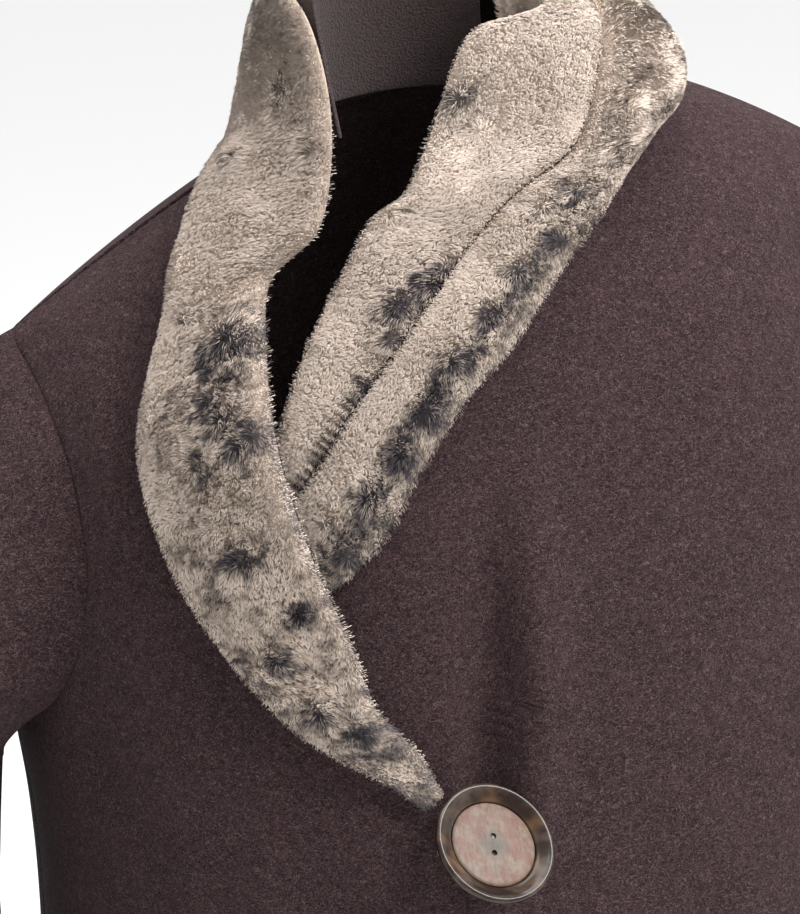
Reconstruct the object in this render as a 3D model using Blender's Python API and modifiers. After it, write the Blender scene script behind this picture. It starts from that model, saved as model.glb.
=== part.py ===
"""Oversized wool coat, worn shape, with a deep sheared-fur shawl collar and one large button.

Metres, +Z up. The front faces -Y and the wearer's left is +X. The origin is at the base of the
neck, in the middle of the shoulder line. The right front laps over the left one.
"""
import math

import bmesh
import bpy
import numpy as np
from mathutils import Matrix, Vector
from mathutils.bvhtree import BVHTree

# ---- driving sizes (metres) ----
CLOTH = 0.0028            # wall of the felted wool
LAYER_GAP = 0.0003        # between pieces that lie on each other
SEAM_HALF = 0.00070       # half of a seam's groove, at the outer face
HEM_LEVEL = -1.000        # hem below the shoulder line
ARMPIT_LEVEL = -0.270
SIDE_ROUNDNESS = 0.88     # exponent of the body sections: 1 is an ellipse, less is boxier
LAP_LIFT = 0.0037         # how far the over front stands off the under front
LAP_START = -0.205        # x where the over front starts to rise over the under front
LAP_FULL = -0.160         # x where it has risen fully
LAP_TOP = (-0.095, -0.035)   # levels over which the rise dies out towards the shoulder
CROSSING_LIFT = 0.0110    # extra rise where the over front passes over the under collar
CROSSING = (-0.100, -0.142)   # x and level of that crossing
CROSSING_REACH = (0.056, 0.078)
PILE = 0.0105             # depth of the fur
COLLAR_CLOTH = 0.0026     # wall of the cloth under the fur
COLLAR_LIFT = 0.0040      # the fur's underside above the front: cloth and a gap on each side
FUR_GAP = 0.0004          # between the fur and the cloth under it
CENTRE_SEAM_HALF = 0.0005 # from the middle of the back to each half of the collar
ROLL_INSET = 0.0055       # the cloth stops short of the roll where the collar folds back at the neck
ROLL_STATIONS = (7.0, 9.5)   # stations over which that inset grows
SLEEVE_GAP = 0.0009       # the sleeve stands off the armhole
NECK_BAND_WALL = 0.0022
MERGE = 0.00001           # points closer than this are one

BUTTON_RADIUS = 0.0285
BUTTON_DISC_RADIUS = 0.0200
BUTTON_CENTRE = (-0.0389, -0.1850, -0.3093)
BUTTON_NORMAL = (0.250, -0.668, 0.701)
HOLE_RADIUS = 0.0014
HOLE_SPREAD = 0.0040      # from the centre to each of the two holes
HOLE_TURN = 64.0          # degrees, line of the two holes on the face
BUTTON_BACK = -0.0036     # its lowest face, from its centre
BUTTON_SEGMENTS = 40
HOLE_SIDES = 12
SHANK_RADIUS = 0.0022
SHANK_FOOT = (-0.0350, -0.3130)   # x and z where the thread leaves the under front
SHANK_SQUARE = 0.0036     # its ends stand square to what they meet for this far
LOOP_RADIUS = 0.0013      # cord loop from the over front's edge round the shank
LOOP_LIFT = 0.0055        # its middle above the under front
LOOP_BACK = 0.0250        # its ends lie this far behind the shank, on the over front
LOOP_HALF_WIDTH = 0.0065
LOOP_STEPS = 16           # along the loop's round end
LOOP_DRAWN_IN = 0.35      # share of its half width that the loop loses towards its ends

# ---- body sections: level at the middle, half width, front and back depth, middle, side drop ----
BODY_COLUMNS = ("level", "half_width", "front", "back", "mid_y", "side_drop")
BODY = (
    (0.000, 0.205, 0.000, 0.000, 0.010, 0.080),
    (-0.008, 0.210, 0.034, 0.030, 0.010, 0.080),
    (-0.030, 0.214, 0.064, 0.056, 0.008, 0.076),
    (-0.060, 0.217, 0.090, 0.078, 0.006, 0.068),
    (-0.100, 0.219, 0.113, 0.098, 0.004, 0.056),
    (-0.150, 0.221, 0.132, 0.115, 0.002, 0.040),
    (-0.200, 0.222, 0.146, 0.126, 0.000, 0.026),
    (-0.270, 0.222, 0.160, 0.135, 0.000, 0.010),
    (-0.340, 0.220, 0.170, 0.139, 0.000, 0.002),
    (-0.450, 0.222, 0.175, 0.143, 0.000, 0.000),
    (-0.600, 0.232, 0.178, 0.151, 0.000, 0.000),
    (-0.800, 0.252, 0.188, 0.167, 0.000, 0.000),
    (-1.000, 0.274, 0.202, 0.184, 0.000, 0.000),
)
RIGHT_DROP, RIGHT_SLOPE = 1.12, 1.35      # the coat hangs lower on the wearer's right
LEFT_DROP, LEFT_SLOPE = 1.00, 1.90
TILT = 0.07
TILT_END = -0.40          # level where the tilt has died out

# ---- edges of the two fronts: x at each level ----
RIGHT_EDGE = (            # level, x
    (-1.000, -0.046), (-0.340, -0.050), (-0.290, -0.056), (-0.270, -0.067), (-0.243, -0.083),
    (-0.213, -0.092), (-0.173, -0.102), (-0.137, -0.108), (-0.096, -0.110), (-0.050, -0.107),
    (-0.025, -0.094), (0.000, -0.084),
)
LEFT_EDGE = (             # level, x
    (-1.000, -0.146), (-0.340, -0.150), (-0.200, -0.146), (-0.140, -0.126), (-0.098, -0.098),
    (-0.066, -0.070), (-0.046, -0.034), (-0.032, 0.012), (-0.023, 0.040), (-0.015, 0.057),
    (-0.008, 0.069), (0.000, 0.084),
)
BACK_NECK = ((-0.022, 0.000), (-0.016, 0.040), (-0.008, 0.066), (0.000, 0.084))   # level, x

# ---- armhole: level, angle from the middle on the front and on the back (degrees) ----
ARMHOLE = (
    (0.000, 77.0, 77.0), (-0.020, 68.0, 69.0), (-0.050, 62.0, 64.0), (-0.090, 58.0, 60.0),
    (-0.140, 57.0, 59.0), (-0.185, 60.0, 62.0), (-0.225, 66.0, 68.0), (-0.252, 75.0, 76.0),
    (-0.270, 89.8, 89.8),
)
SIDE_SEAM = 89.8          # degrees, where the fronts meet the back below the armhole
BACK_COLUMNS = 11         # of each half of the back
UPPER_LEVELS = (-0.0005, -0.008, -0.016, -0.026, -0.048, -0.078, -0.112, -0.148, -0.184, -0.216, -0.242,
                -0.260, -0.270)
LOWER_LEVELS = (-0.300, -0.340, -0.390, -0.445, -0.505, -0.570, -0.640, -0.715, -0.790, -0.865,
                -0.935, -1.000)

# ---- hanging folds of the skirt and sleeves: angle, spread (degrees), depth at the hem, start ----
HANG_FOLDS = (
    (-158, 11, 0.010, -0.42), (-128, 9, 0.013, -0.36), (-101, 10, 0.009, -0.50),
    (-70, 8, 0.012, -0.40), (-47, 7, 0.007, -0.34), (32, 7, 0.008, -0.52), (58, 9, 0.012, -0.40),
    (84, 8, 0.008, -0.55), (112, 10, 0.013, -0.38), (140, 8, 0.009, -0.46), (167, 9, 0.011, -0.50),
)
FOLDS_FULL = -1.02        # level where they would be at full depth
# pull fold on the under front: x and level at its two ends, spread across, depth
PULL_FOLD = ((-0.004, -0.185), (-0.022, -0.330), 0.010, 0.0045)
PULL_FOLD_FROM = (-0.048, -0.030)   # it fades in between these x, clear of the over front

# ---- sleeves, for the wearer's left: centre, half width and half depth of each section ----
SLEEVE_COLUMNS = ("x", "y", "z", "half_x", "half_y")
SLEEVE = (
    (0.3000, -0.002, -0.300, 0.0700, 0.088),
    (0.3060, -0.005, -0.345, 0.0705, 0.087),
    (0.3120, -0.009, -0.395, 0.0705, 0.084),
    (0.3195, -0.015, -0.450, 0.0700, 0.081),
    (0.3270, -0.022, -0.505, 0.0695, 0.078),
    (0.3345, -0.030, -0.560, 0.0685, 0.075),
    (0.3415, -0.038, -0.612, 0.0680, 0.073),
    (0.3475, -0.045, -0.660, 0.0675, 0.072),
)
SLEEVE_CAP_STEPS = (0.0, 0.16, 0.34, 0.54, 0.76)
CAP_LEAVE = (1.0, 0.0, -0.38)      # way the cap leaves the armhole, on the wearer's left
CAP_ARRIVE = (0.10, -0.05, -1.0)   # way it comes into the arm's first section
CAP_REACH = 0.95                   # strength of both, as a share of the distance
SLEEVE_FOLD_REACH = 0.045          # of each crease along the sleeve, as a share of its length
SLEEVE_MIDDLE = (0.315, -0.01)     # x and y inside a sleeve, to tell its outer side
# elbow and cuff creases of a sleeve: place along (0 to 1), angle, spread, depth
SLEEVE_FOLDS = (
    (0.30, 250, 60, 0.0060), (0.44, 200, 46, 0.0050), (0.55, 300, 52, 0.0055),
    (0.70, 230, 48, 0.0045), (0.86, 320, 44, 0.0035),
)

# ---- collar: three lines run along each half, from its front end to the middle of the back.
# outer is the free edge, groove parts the fall from the inner band, inner is the edge at the
# neck. y is None where the line is laid on the front. arch is the rise of the fall, in metres,
# and puff that of the inner band. Millimetres.
COLLAR_COLUMNS = ("outer", "groove", "inner", "arch", "puff")
RIGHT_COLLAR = (
    ((-64, None, -297), (-55, None, -291), (-54, None, -289), 0, 0),
    ((-82, None, -281), (-63, None, -271), (-62, None, -270), 1, 0),
    ((-106, None, -264), (-79, None, -250), (-79, None, -249), 2, 0),
    ((-126, None, -241), (-85, None, -224), (-85, None, -224), 3, 0),
    ((-142, None, -213), (-94, None, -189), (-93, None, -189), 4, 0),
    ((-154, None, -181), (-100, None, -159), (-99, None, -160), 5, 0),
    ((-157, None, -149), (-102, None, -131), (-99, None, -131), 6, 1),
    ((-151, None, -120), (-99, None, -96), (-94, None, -95), 6, 2),
    ((-137, None, -90), (-91, None, -75), (-84, None, -73), 6, 3),
    ((-124, None, -65), (-70, -68, -54), (-66, -60, -56), 5, 3),
    ((-110, -14, -41), (-59, -57, -26), (-54, -50, -36), 2, 3),
    ((-93, 10, -33), (-56, -48, 4), (-52, -44, -26), 0, 4),
    ((-83, 32, -36), (-58, -30, 32), (-56, -30, -16), 0, 4),
    ((-76, 52, -44), (-61, 2, 46), (-60, 4, -10), 1, 4),
    ((-62, 70, -53), (-51, 36, 54), (-50, 34, -10), 5, 4),
    ((-36, 86, -59), (-27, 55, 57), (-27, 51, -10), 7, 4),
    ((0, 92, -62), (0, 60, 58), (0, 56, -10), 7, 4),
)
LEFT_COLLAR = (
    ((-110, None, -206), (-120, None, -186), (-126, None, -176), 0, 0),
    ((-90, None, -198), (-102, None, -163), (-114, None, -151), 2, 1),
    ((-69, None, -181), (-86, None, -145), (-101, None, -131), 5, 3),
    ((-50, None, -157), (-69, None, -126), (-90, None, -111), 7, 4),
    ((-25, None, -129), (-47, None, -104), (-77, None, -92), 8, 5),
    ((3, None, -106), (-24, None, -82), (-62, None, -74), 8, 6),
    ((24, None, -86), (-6, None, -65), (-45, None, -55), 8, 6),
    ((54, None, -62), (16, -86, -44), (-30, -72, -41), 9, 6),
    ((86, None, -39), (49, -74, -28), (-13, -60, -16), 12, 5),
    ((105, -50, -23), (69, -52, 2), (8, -56, 24), 13, 4),
    ((114, -16, -17), (76, -28, 24), (38, -48, 20), 9, 4),
    ((106, 30, -26), (70, 6, 40), (56, -16, 4), 5, 4),
    ((84, 60, -44), (58, 36, 50), (54, 22, -6), 5, 4),
    ((44, 84, -58), (31, 55, 56), (30, 48, -10), 7, 4),
    ((0, 92, -62), (0, 60, 58), (0, 56, -10), 7, 4),
)
COLLAR_STEPS = 24         # sections made along each half
CLEAR_REACH = 0.020       # a point this far under the coat is still lifted off it
CLEAR_ASIDE = 0.002       # unless it lies this far beside the nearest face
OUTER_HINT = 0.05         # upward part of the way that tells a face's outer side
ALONG_REACH = 0.004       # a band's direction is read over this far on each side
TIP_PILE = 0.30           # share of the fur's depth at the collar's front end
FULL_PILE_AT = 2.4        # station where it is full
INNER_PILE = 0.8          # share of the depth on the inner band
LEFT_BAND_END = 20        # section where the inner fur ends and the cloth neck band takes over
# share of the pile's depth across a band, from one edge to the other
PILE_SECTION = ((0.00, 0.22), (0.06, 0.66), (0.20, 0.92), (0.40, 1.00), (0.62, 1.00),
                (0.82, 0.92), (0.95, 0.64), (1.00, 0.22))
CLOTH_BEYOND_FUR = ((0.0, 0.0035), (1.0, 0.0070), (2.2, 0.0030), (3.0, 0.0), (30.0, 0.0))

# ---- cloth band at the neck: turn from the front (degrees, wearer's left is positive) ----
NECK_BAND_RADIUS = (0.0580, 0.0540)
NECK_BAND_START = ((-72.0, 0.044), (-58.0, -0.022))   # turn of the near border, height
NECK_BAND_END = -224.0
NECK_BAND_MID_Y = -0.0040
NECK_BAND_STEPS = 18

COLOURS = {
    "wool": (0.062, 0.046, 0.050, 1.0), "wool_dark": (0.044, 0.032, 0.034, 1.0),
    "fur": (0.55, 0.48, 0.41, 1.0), "horn": (0.060, 0.035, 0.022, 1.0),
    "pearl": (0.52, 0.42, 0.35, 1.0), "thread": (0.10, 0.11, 0.13, 1.0),
}


# ---- small numerical helpers ----
def through_rows(rows, column, at):
    """Smooth value of one column at a place in the first column, without overshoot."""
    table = sorted((row[0], row[column]) for row in rows)
    xs = np.array([pair[0] for pair in table])
    ys = np.array([pair[1] for pair in table])
    steps = np.diff(xs)
    slopes = np.diff(ys) / steps
    tangents = np.zeros(len(xs))
    for i in range(1, len(xs) - 1):
        if slopes[i - 1] * slopes[i] > 0:
            tangents[i] = 2.0 / (1.0 / slopes[i - 1] + 1.0 / slopes[i])
    tangents[0] = slopes[0]
    tangents[-1] = slopes[-1]
    at = min(max(at, xs[0]), xs[-1])
    i = min(int(np.searchsorted(xs, at, side="right")) - 1, len(xs) - 2)
    t = (at - xs[i]) / steps[i]
    return float(ys[i] * (1 + 2 * t) * (1 - t) ** 2 + steps[i] * tangents[i] * t * (1 - t) ** 2
                 + ys[i + 1] * t * t * (3 - 2 * t) + steps[i] * tangents[i + 1] * t * t * (t - 1))


def ease(value, start, end):
    """0 before start, 1 after end, smooth between."""
    t = min(max((value - start) / (end - start), 0.0), 1.0)
    return t * t * (3 - 2 * t)


def unit(vector):
    return vector / (np.linalg.norm(vector) + 1e-12)


def body_column(name, level):
    return through_rows(BODY, BODY_COLUMNS.index(name), level)


# ---- the coat's body surface ----
def side_fall(x, level):
    """How much lower a section is at x than at the middle."""
    share = abs(x) / body_column("half_width", level)
    drop = body_column("side_drop", level)
    if x < 0:
        fall = drop * RIGHT_DROP * share ** RIGHT_SLOPE
    else:
        fall = drop * LEFT_DROP * share ** LEFT_SLOPE
    return fall - TILT * x * ease(level, TILT_END, 0.0)


def fold_depth(angle, level, x):
    """Outward ripple of the hanging folds, and the pull fold on the front."""
    depth = 0.0
    degrees = math.degrees(angle)
    for fold_angle, spread, size, start in HANG_FOLDS:
        apart = (degrees - fold_angle + 180) % 360 - 180
        depth += size * math.exp(-(apart / spread) ** 2) * ease(level, start, FOLDS_FULL)
    (x0, level0), (x1, level1), width, size = PULL_FOLD
    if math.cos(angle) > 0 and x > PULL_FOLD_FROM[0]:
        along = (level - level0) / (level1 - level0)
        line = x0 + (x1 - x0) * along
        apart = (x - line) / width
        strength = ease(along, -0.35, 0.35) * (1 - ease(along, 1.1, 1.7)) * ease(x, *PULL_FOLD_FROM)
        depth += size * strength * apart * math.exp(0.5 - 0.5 * apart * apart)
    return depth


def body_point(angle, level, lift=0.0):
    """Point of the coat's outer face. angle is 0 at the front and positive to the wearer's left."""
    half_width = body_column("half_width", level)
    sine, cosine = math.sin(angle), math.cos(angle)
    depth = body_column("front" if cosine > 0 else "back", level)
    x = half_width * math.copysign(abs(sine) ** SIDE_ROUNDNESS, sine)
    y = -depth * math.copysign(abs(cosine) ** SIDE_ROUNDNESS, cosine)
    ripple = fold_depth(angle, level, x)
    out = unit(np.array([sine / half_width, -cosine / max(depth, 0.02), 0.0]))
    point = np.array([x, y + body_column("mid_y", level), level - side_fall(x, level)]) + out * ripple
    return point if lift == 0 else point + body_normal(angle, level) * lift


def body_normal(angle, level):
    turn, rise = 0.004, 0.0015
    if math.cos(angle) > 0 > math.cos(angle + turn) or math.cos(angle - turn) < 0 < math.cos(angle):
        turn = min(turn, 0.9 * (math.pi / 2 - abs(angle)) + 1e-4)
    low = max(level - rise, HEM_LEVEL)
    high = min(level + rise, 0.0)
    across = body_point(angle + turn, level) - body_point(angle - turn, level)
    up = body_point(angle, high) - body_point(angle, low)
    return unit(np.cross(across, up))


def level_at(x, z):
    """Level of the section that passes through height z at x."""
    level = z
    for _ in range(40):
        level = min(z + side_fall(x, min(level, 0.0)), 0.0)
    return level


def angle_at(x, level):
    share = min(abs(x) / body_column("half_width", level), 1.0)
    return math.copysign(math.asin(share ** (1 / SIDE_ROUNDNESS)), x)


def over_lift(x, level):
    """Height of the over front above the under front."""
    lap = LAP_LIFT * ease(x, LAP_START, LAP_FULL) * (1 - ease(level, *LAP_TOP))
    across = (x - CROSSING[0]) / CROSSING_REACH[0]
    down = (level - CROSSING[1]) / CROSSING_REACH[1]
    reach = across * across + down * down
    return lap + CROSSING_LIFT * (1 - ease(reach, 0.10, 1.0))


def flat(x, level):
    return 0.0


FRONTS = {-1: (RIGHT_EDGE, 13, over_lift), 1: (LEFT_EDGE, 15, flat)}   # edge, columns, lift


def on_front(x, z, lift):
    level = level_at(x, z)
    return body_point(angle_at(x, level), level, lift)


# ---- mesh helpers ----
def material(name):
    made = bpy.data.materials.get(name)
    if made is None:
        made = bpy.data.materials.new(name)
        made.use_nodes = True
        shader = made.node_tree.nodes["Principled BSDF"]
        shader.inputs["Base Color"].default_value = COLOURS[name]
        shader.inputs["Roughness"].default_value = 0.25 if name in ("horn", "pearl") else 0.9
        shader.inputs["Metallic"].default_value = 0.0
    return made


def add_object(name, mesh, colour):
    mesh.materials.append(material(colour))
    made = bpy.data.objects.new(name, mesh)
    PARTS.objects.link(made)
    return made


def add_quad(mesh, a, b, c, d):
    """Two triangles, split the same way in every sheet, so that layers stay parallel."""
    mesh.faces.new((a, b, c))
    mesh.faces.new((a, c, d))


def mesh_from_grid(name, rows, closed=False):
    """Open sheet through rows of points; closed joins each row's end to its start."""
    sheet = bmesh.new()
    grid = [[sheet.verts.new(Vector(point)) for point in row] for row in rows]
    count = len(grid[0])
    for upper, lower in zip(grid[:-1], grid[1:]):
        for i in range(count if closed else count - 1):
            add_quad(sheet, upper[i], upper[(i + 1) % count], lower[(i + 1) % count], lower[i])
    mesh = bpy.data.meshes.new(name)
    sheet.to_mesh(mesh)
    sheet.free()
    return mesh


def cloth_from_mesh(name, mesh, outward, thickness=CLOTH, colour="wool"):
    """Cloth wall on the inner side of a sheet; outward(point) tells its outer side."""
    mesh.shade_smooth()
    middle = mesh.polygons[len(mesh.polygons) // 2]
    if middle.normal.dot(Vector(outward(np.array(middle.center)))) < 0:
        mesh.flip_normals()
    made = add_object(name, mesh, colour)
    wall = made.modifiers.new("wall", "SOLIDIFY")
    wall.thickness = thickness
    wall.offset = -1.0
    wall.use_even_offset = False
    return made


def cloth_object(name, rows, outward, thickness=CLOTH, colour="wool", closed=False):
    return cloth_from_mesh(name, mesh_from_grid(name, rows, closed), outward, thickness, colour)


def from_axis(point):
    """Away from the upright line through the body's middle."""
    return np.array([point[0], point[1], 0.0])


# ---- body panels ----
def armhole_angle(level, back):
    return math.radians(through_rows(ARMHOLE, 2 if back else 1, level))


def side_limit(level, side, back):
    """Angle, on the given side, where a panel ends at this level: side seam or armhole."""
    if level >= ARMPIT_LEVEL:
        limit = armhole_angle(level, back)
    else:
        limit = math.radians(SIDE_SEAM)
    return side * (math.pi - limit if back else limit)


def panel_levels():
    return UPPER_LEVELS + LOWER_LEVELS


def front_rows(side):
    """A front, from its edge to its side seam or armhole, for the wearer's right (-1) or left."""
    edge_rows, columns, lift = FRONTS[side]
    rows = []
    for level in panel_levels():
        start = angle_at(through_rows(edge_rows, 1, level), level)
        end = side_limit(level, side, False)
        row = []
        for i in range(columns + 1):
            angle = start + (end - start) * i / columns
            x = body_point(angle, level)[0]
            row.append(body_point(angle, level, lift(x, level)))
        rows.append(row)
    return seam_eased(rows, -1)


def seam_eased(rows, toward):
    """Draws a panel's shoulder row back from the shoulder line by half a seam's groove."""
    for point in rows[0]:
        point[1] += toward * SEAM_HALF
    return rows


def back_rows(side, columns):
    """One half of the back, from its middle or neck edge to its side."""
    rows = []
    for level in panel_levels():
        neck = 0.0 if level <= BACK_NECK[0][0] else through_rows(BACK_NECK, 1, level)
        spread = angle_at(neck, level) if neck > 0 else 0.0
        start, end = math.pi - spread, side_limit(level, 1, True)
        rows.append([body_point(side * (start + (end - start) * i / columns), level)
                     for i in range(columns + 1)])
    return seam_eased(rows, 1)


def build_back():
    """The two halves of the back are joined down the middle, below the neck."""
    right, left = back_rows(-1, BACK_COLUMNS), back_rows(1, BACK_COLUMNS)
    sheet = bmesh.new()
    grid = []
    for right_row, left_row in zip(right, left):
        row = [sheet.verts.new(Vector(point)) for point in right_row[::-1]]
        joined = np.linalg.norm(right_row[0] - left_row[0]) < 1e-6
        row.append(row[-1] if joined else sheet.verts.new(Vector(left_row[0])))
        row += [sheet.verts.new(Vector(point)) for point in left_row[1:]]
        grid.append(row)
    for upper, lower in zip(grid[:-1], grid[1:]):
        for i in range(2 * BACK_COLUMNS + 1):
            if i != BACK_COLUMNS:
                add_quad(sheet, upper[i], upper[i + 1], lower[i + 1], lower[i])
            elif upper[i] is not upper[i + 1] and lower[i] is lower[i + 1]:
                sheet.faces.new((upper[i], upper[i + 1], lower[i]))
    mesh = bpy.data.meshes.new("back")
    sheet.to_mesh(mesh)
    sheet.free()
    return cloth_from_mesh("back", mesh, from_axis)


def armhole_loop(side):
    """Armhole from the shoulder tip down the front to the armpit and up the back."""
    levels = [level for level in UPPER_LEVELS]
    front = [body_point(side_limit(level, side, False), level) for level in levels]
    back = [body_point(side_limit(level, side, True), level) for level in levels]
    loop = front + back[-2:0:-1]
    return [point + np.array([side * SLEEVE_GAP, 0.0, 0.0]) for point in loop]


def arm_section(row, side, turn):
    arm = dict(zip(SLEEVE_COLUMNS, row))
    return np.array([side * (arm["x"] + arm["half_x"] * math.cos(turn)),
                     arm["y"] - arm["half_y"] * math.sin(turn), arm["z"]])


def sleeve_crease(along, turn):
    degrees = math.degrees(turn)
    depth = 0.0
    for place, angle, spread, size in SLEEVE_FOLDS:
        apart = (degrees - angle + 180) % 360 - 180
        depth += size * math.exp(-((along - place) / SLEEVE_FOLD_REACH) ** 2 - (apart / spread) ** 2)
    return depth


def sleeve_turns(loop):
    """Angle round the arm for each armhole point, by length; the armpit is at half a turn."""
    lengths = [0.0]
    for before, after in zip(loop, loop[1:] + loop[:1]):
        lengths.append(lengths[-1] + np.linalg.norm(after - before))
    pit = len(UPPER_LEVELS) - 1
    turns = []
    for i in range(len(loop)):
        if i <= pit:
            turns.append(math.pi * lengths[i] / lengths[pit])
        else:
            turns.append(math.pi * (1 + (lengths[i] - lengths[pit]) / (lengths[-1] - lengths[pit])))
    return turns


def sleeve_rows(side):
    loop = armhole_loop(side)
    turns = sleeve_turns(loop)
    rows = []
    for t in SLEEVE_CAP_STEPS:
        row = []
        for start, turn in zip(loop, turns):
            end = arm_section(SLEEVE[0], side, turn)
            reach = np.linalg.norm(end - start)
            leave = unit(np.array(CAP_LEAVE) * (side, 1, 1)) * reach * CAP_REACH
            arrive = np.array(CAP_ARRIVE) * (side, 1, 1) * reach * CAP_REACH
            row.append(start * (1 + 2 * t) * (1 - t) ** 2 + leave * t * (1 - t) ** 2
                       + end * t * t * (3 - 2 * t) + arrive * t * t * (t - 1))
        rows.append(row)
    count = len(SLEEVE) - 1
    for i, section in enumerate(SLEEVE):
        row = []
        for turn in turns:
            centre = np.array([side * section[0], section[1], section[2]])
            point = arm_section(section, side, turn)
            out = unit(point - centre)
            row.append(point - out * sleeve_crease(i / count, turn))
        rows.append(row)
    return rows


# ---- collar ----
def collar_guide(side):
    """Search tree of the outer faces that one half of the collar lies on."""
    points, faces = [], []
    for rows in (front_rows(side), back_rows(side, BACK_COLUMNS), back_rows(-side, BACK_COLUMNS)):
        for i, row in enumerate(rows):
            for k, point in enumerate(row):
                points.append(Vector(point))
                if i and k:
                    d, c = len(points) - 2, len(points) - 1
                    a, b = d - len(row), c - len(row)
                    faces += [(a, b, c), (a, c, d)]
    return BVHTree.FromPolygons(points, faces)


def kept_clear(point, guide, lift):
    """The point, moved off the faces near it to at least the given lift."""
    for _ in range(3):
        near = guide.find_nearest(Vector(point))
        base, normal = np.array(near[0]), np.array(near[1])
        if normal @ np.array([base[0], base[1], OUTER_HINT]) < 0:
            normal = -normal
        offset = point - base
        rise = float(offset @ normal)
        aside = np.linalg.norm(offset - normal * rise)
        if 0 <= rise and near[3] < lift - 1e-6:
            point = base + unit(offset + normal * 1e-6) * lift
        elif -CLEAR_REACH < rise < 0 and aside < CLEAR_ASIDE:
            point = base + normal * lift
    return point


def chords_clear(rows, guide, lift):
    """Moves neighbouring points out together where the middle between them lies too low."""
    for _ in range(4):
        for i, row in enumerate(rows):
            for k in range(len(row)):
                for j, m in ((i + 1, k), (i, k + 1), (i + 1, k + 1)):
                    if j < len(rows) and m < len(row):
                        middle = 0.5 * (rows[i][k] + rows[j][m])
                        shift = kept_clear(middle, guide, lift) - middle
                        rows[i][k] = rows[i][k] + shift
                        rows[j][m] = rows[j][m] + shift
    return rows


def collar_lines(rows, base_lift, over):
    """Station points in metres for the outer, groove and inner lines, and the arch and puff."""
    lines = {name: [] for name in COLLAR_COLUMNS}
    for row in rows:
        for name, value in zip(COLLAR_COLUMNS, row):
            if name in ("arch", "puff"):
                lines[name].append(value / 1000)
            elif value[1] is None:
                x, z = value[0] / 1000, value[2] / 1000
                lift = over_lift(x, level_at(x, z)) if over else 0.0
                lines[name].append(on_front(x, z, base_lift + lift))
            else:
                lines[name].append(np.array(value) / 1000)
    return lines


def station_places(lines):
    """Place of each station along the collar, by mean length."""
    places = [0.0]
    for i in range(1, len(lines["outer"])):
        step = 0.5 * (np.linalg.norm(lines["outer"][i] - lines["outer"][i - 1])
                      + np.linalg.norm(lines["groove"][i] - lines["groove"][i - 1]))
        places.append(places[-1] + step)
    return places


def curve_at(places, values, at):
    """Smooth curve through values, which may be points, by Hermite with chord tangents."""
    values = np.array(values, dtype=float)
    i = min(max(int(np.searchsorted(places, at, side="right")) - 1, 0), len(places) - 2)

    def tangent(k):
        before, after = max(k - 1, 0), min(k + 1, len(places) - 1)
        return (values[after] - values[before]) / (places[after] - places[before])

    step = places[i + 1] - places[i]
    t = (at - places[i]) / step
    return (values[i] * (1 + 2 * t) * (1 - t) ** 2 + tangent(i) * step * t * (1 - t) ** 2
            + values[i + 1] * t * t * (3 - 2 * t) + tangent(i + 1) * step * t * t * (t - 1))


def band_frames(lines, first, second, last, flip):
    """Edge points and the outward direction of each section along a band."""
    places = station_places(lines)
    frames = []
    for k in range(last + 1):
        at = places[-1] * k / COLLAR_STEPS
        a, b = curve_at(places, lines[first], at), curve_at(places, lines[second], at)
        ahead, behind = min(at + ALONG_REACH, places[-1]), max(at - ALONG_REACH, 0.0)
        along = (curve_at(places, lines[first], ahead) - curve_at(places, lines[first], behind)
                 + curve_at(places, lines[second], ahead) - curve_at(places, lines[second], behind))
        out = unit(np.cross(b - a, along)) * flip
        station = float(np.interp(at, places, range(len(places))))
        rise = float(curve_at(places, lines["arch" if first == "outer" else "puff"], at))
        frames.append((a, b, out, max(rise, 0.0), station))
    for _ in range(3):
        outs = [frame[2] for frame in frames]
        frames = [(f[0], f[1], unit(outs[max(k - 1, 0)] + 2 * outs[k] + outs[min(k + 1, last)]),
                   f[3], f[4]) for k, f in enumerate(frames)]
    if last == COLLAR_STEPS:
        a, b, out, rise, station = frames[-1]
        frames[-1] = (a, b, unit(out * np.array([0.0, 1.0, 1.0])), rise, station)
    return frames


def band_bed(frames, guide):
    """Underside of a band: a row of points for each section, clear of what it lies on."""
    rows = []
    for a, b, out, rise, _ in frames:
        across = unit(b - a)
        a, b = a + across * FUR_GAP, b - across * FUR_GAP
        rows.append([kept_clear(a + (b - a) * t + out * rise * math.sin(math.pi * t), guide,
                                COLLAR_LIFT) for t, _ in PILE_SECTION])
    return chords_clear(rows, guide, COLLAR_LIFT)


def fur_band(name, frames, bed, pile_share):
    """Closed pad of pile on its bed: a ring of points for each section."""
    band = bmesh.new()
    grid = []
    for (_, _, out, _, station), row in zip(frames, bed):
        top = [point + out * PILE * share * pile_share(station)
               for point, (_, share) in zip(row, PILE_SECTION)]
        grid.append([band.verts.new(Vector(point)) for point in top + row[::-1]])
    count = len(grid[0])
    for one, two in zip(grid[:-1], grid[1:]):
        for i in range(count):
            j = (i + 1) % count
            if i < count // 2:
                add_quad(band, one[i], one[j], two[j], two[i])
            else:
                add_quad(band, one[j], one[i], two[i], two[j])
    for ring in (grid[0], grid[-1]):
        for i in range(count // 2 - 1):
            band.faces.new((ring[i], ring[i + 1], ring[count - 2 - i], ring[count - 1 - i]))
    bmesh.ops.recalc_face_normals(band, faces=band.faces)
    mesh = bpy.data.meshes.new(name)
    band.to_mesh(mesh)
    band.free()
    mesh.shade_smooth()
    return add_object(name, mesh, "fur")


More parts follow.
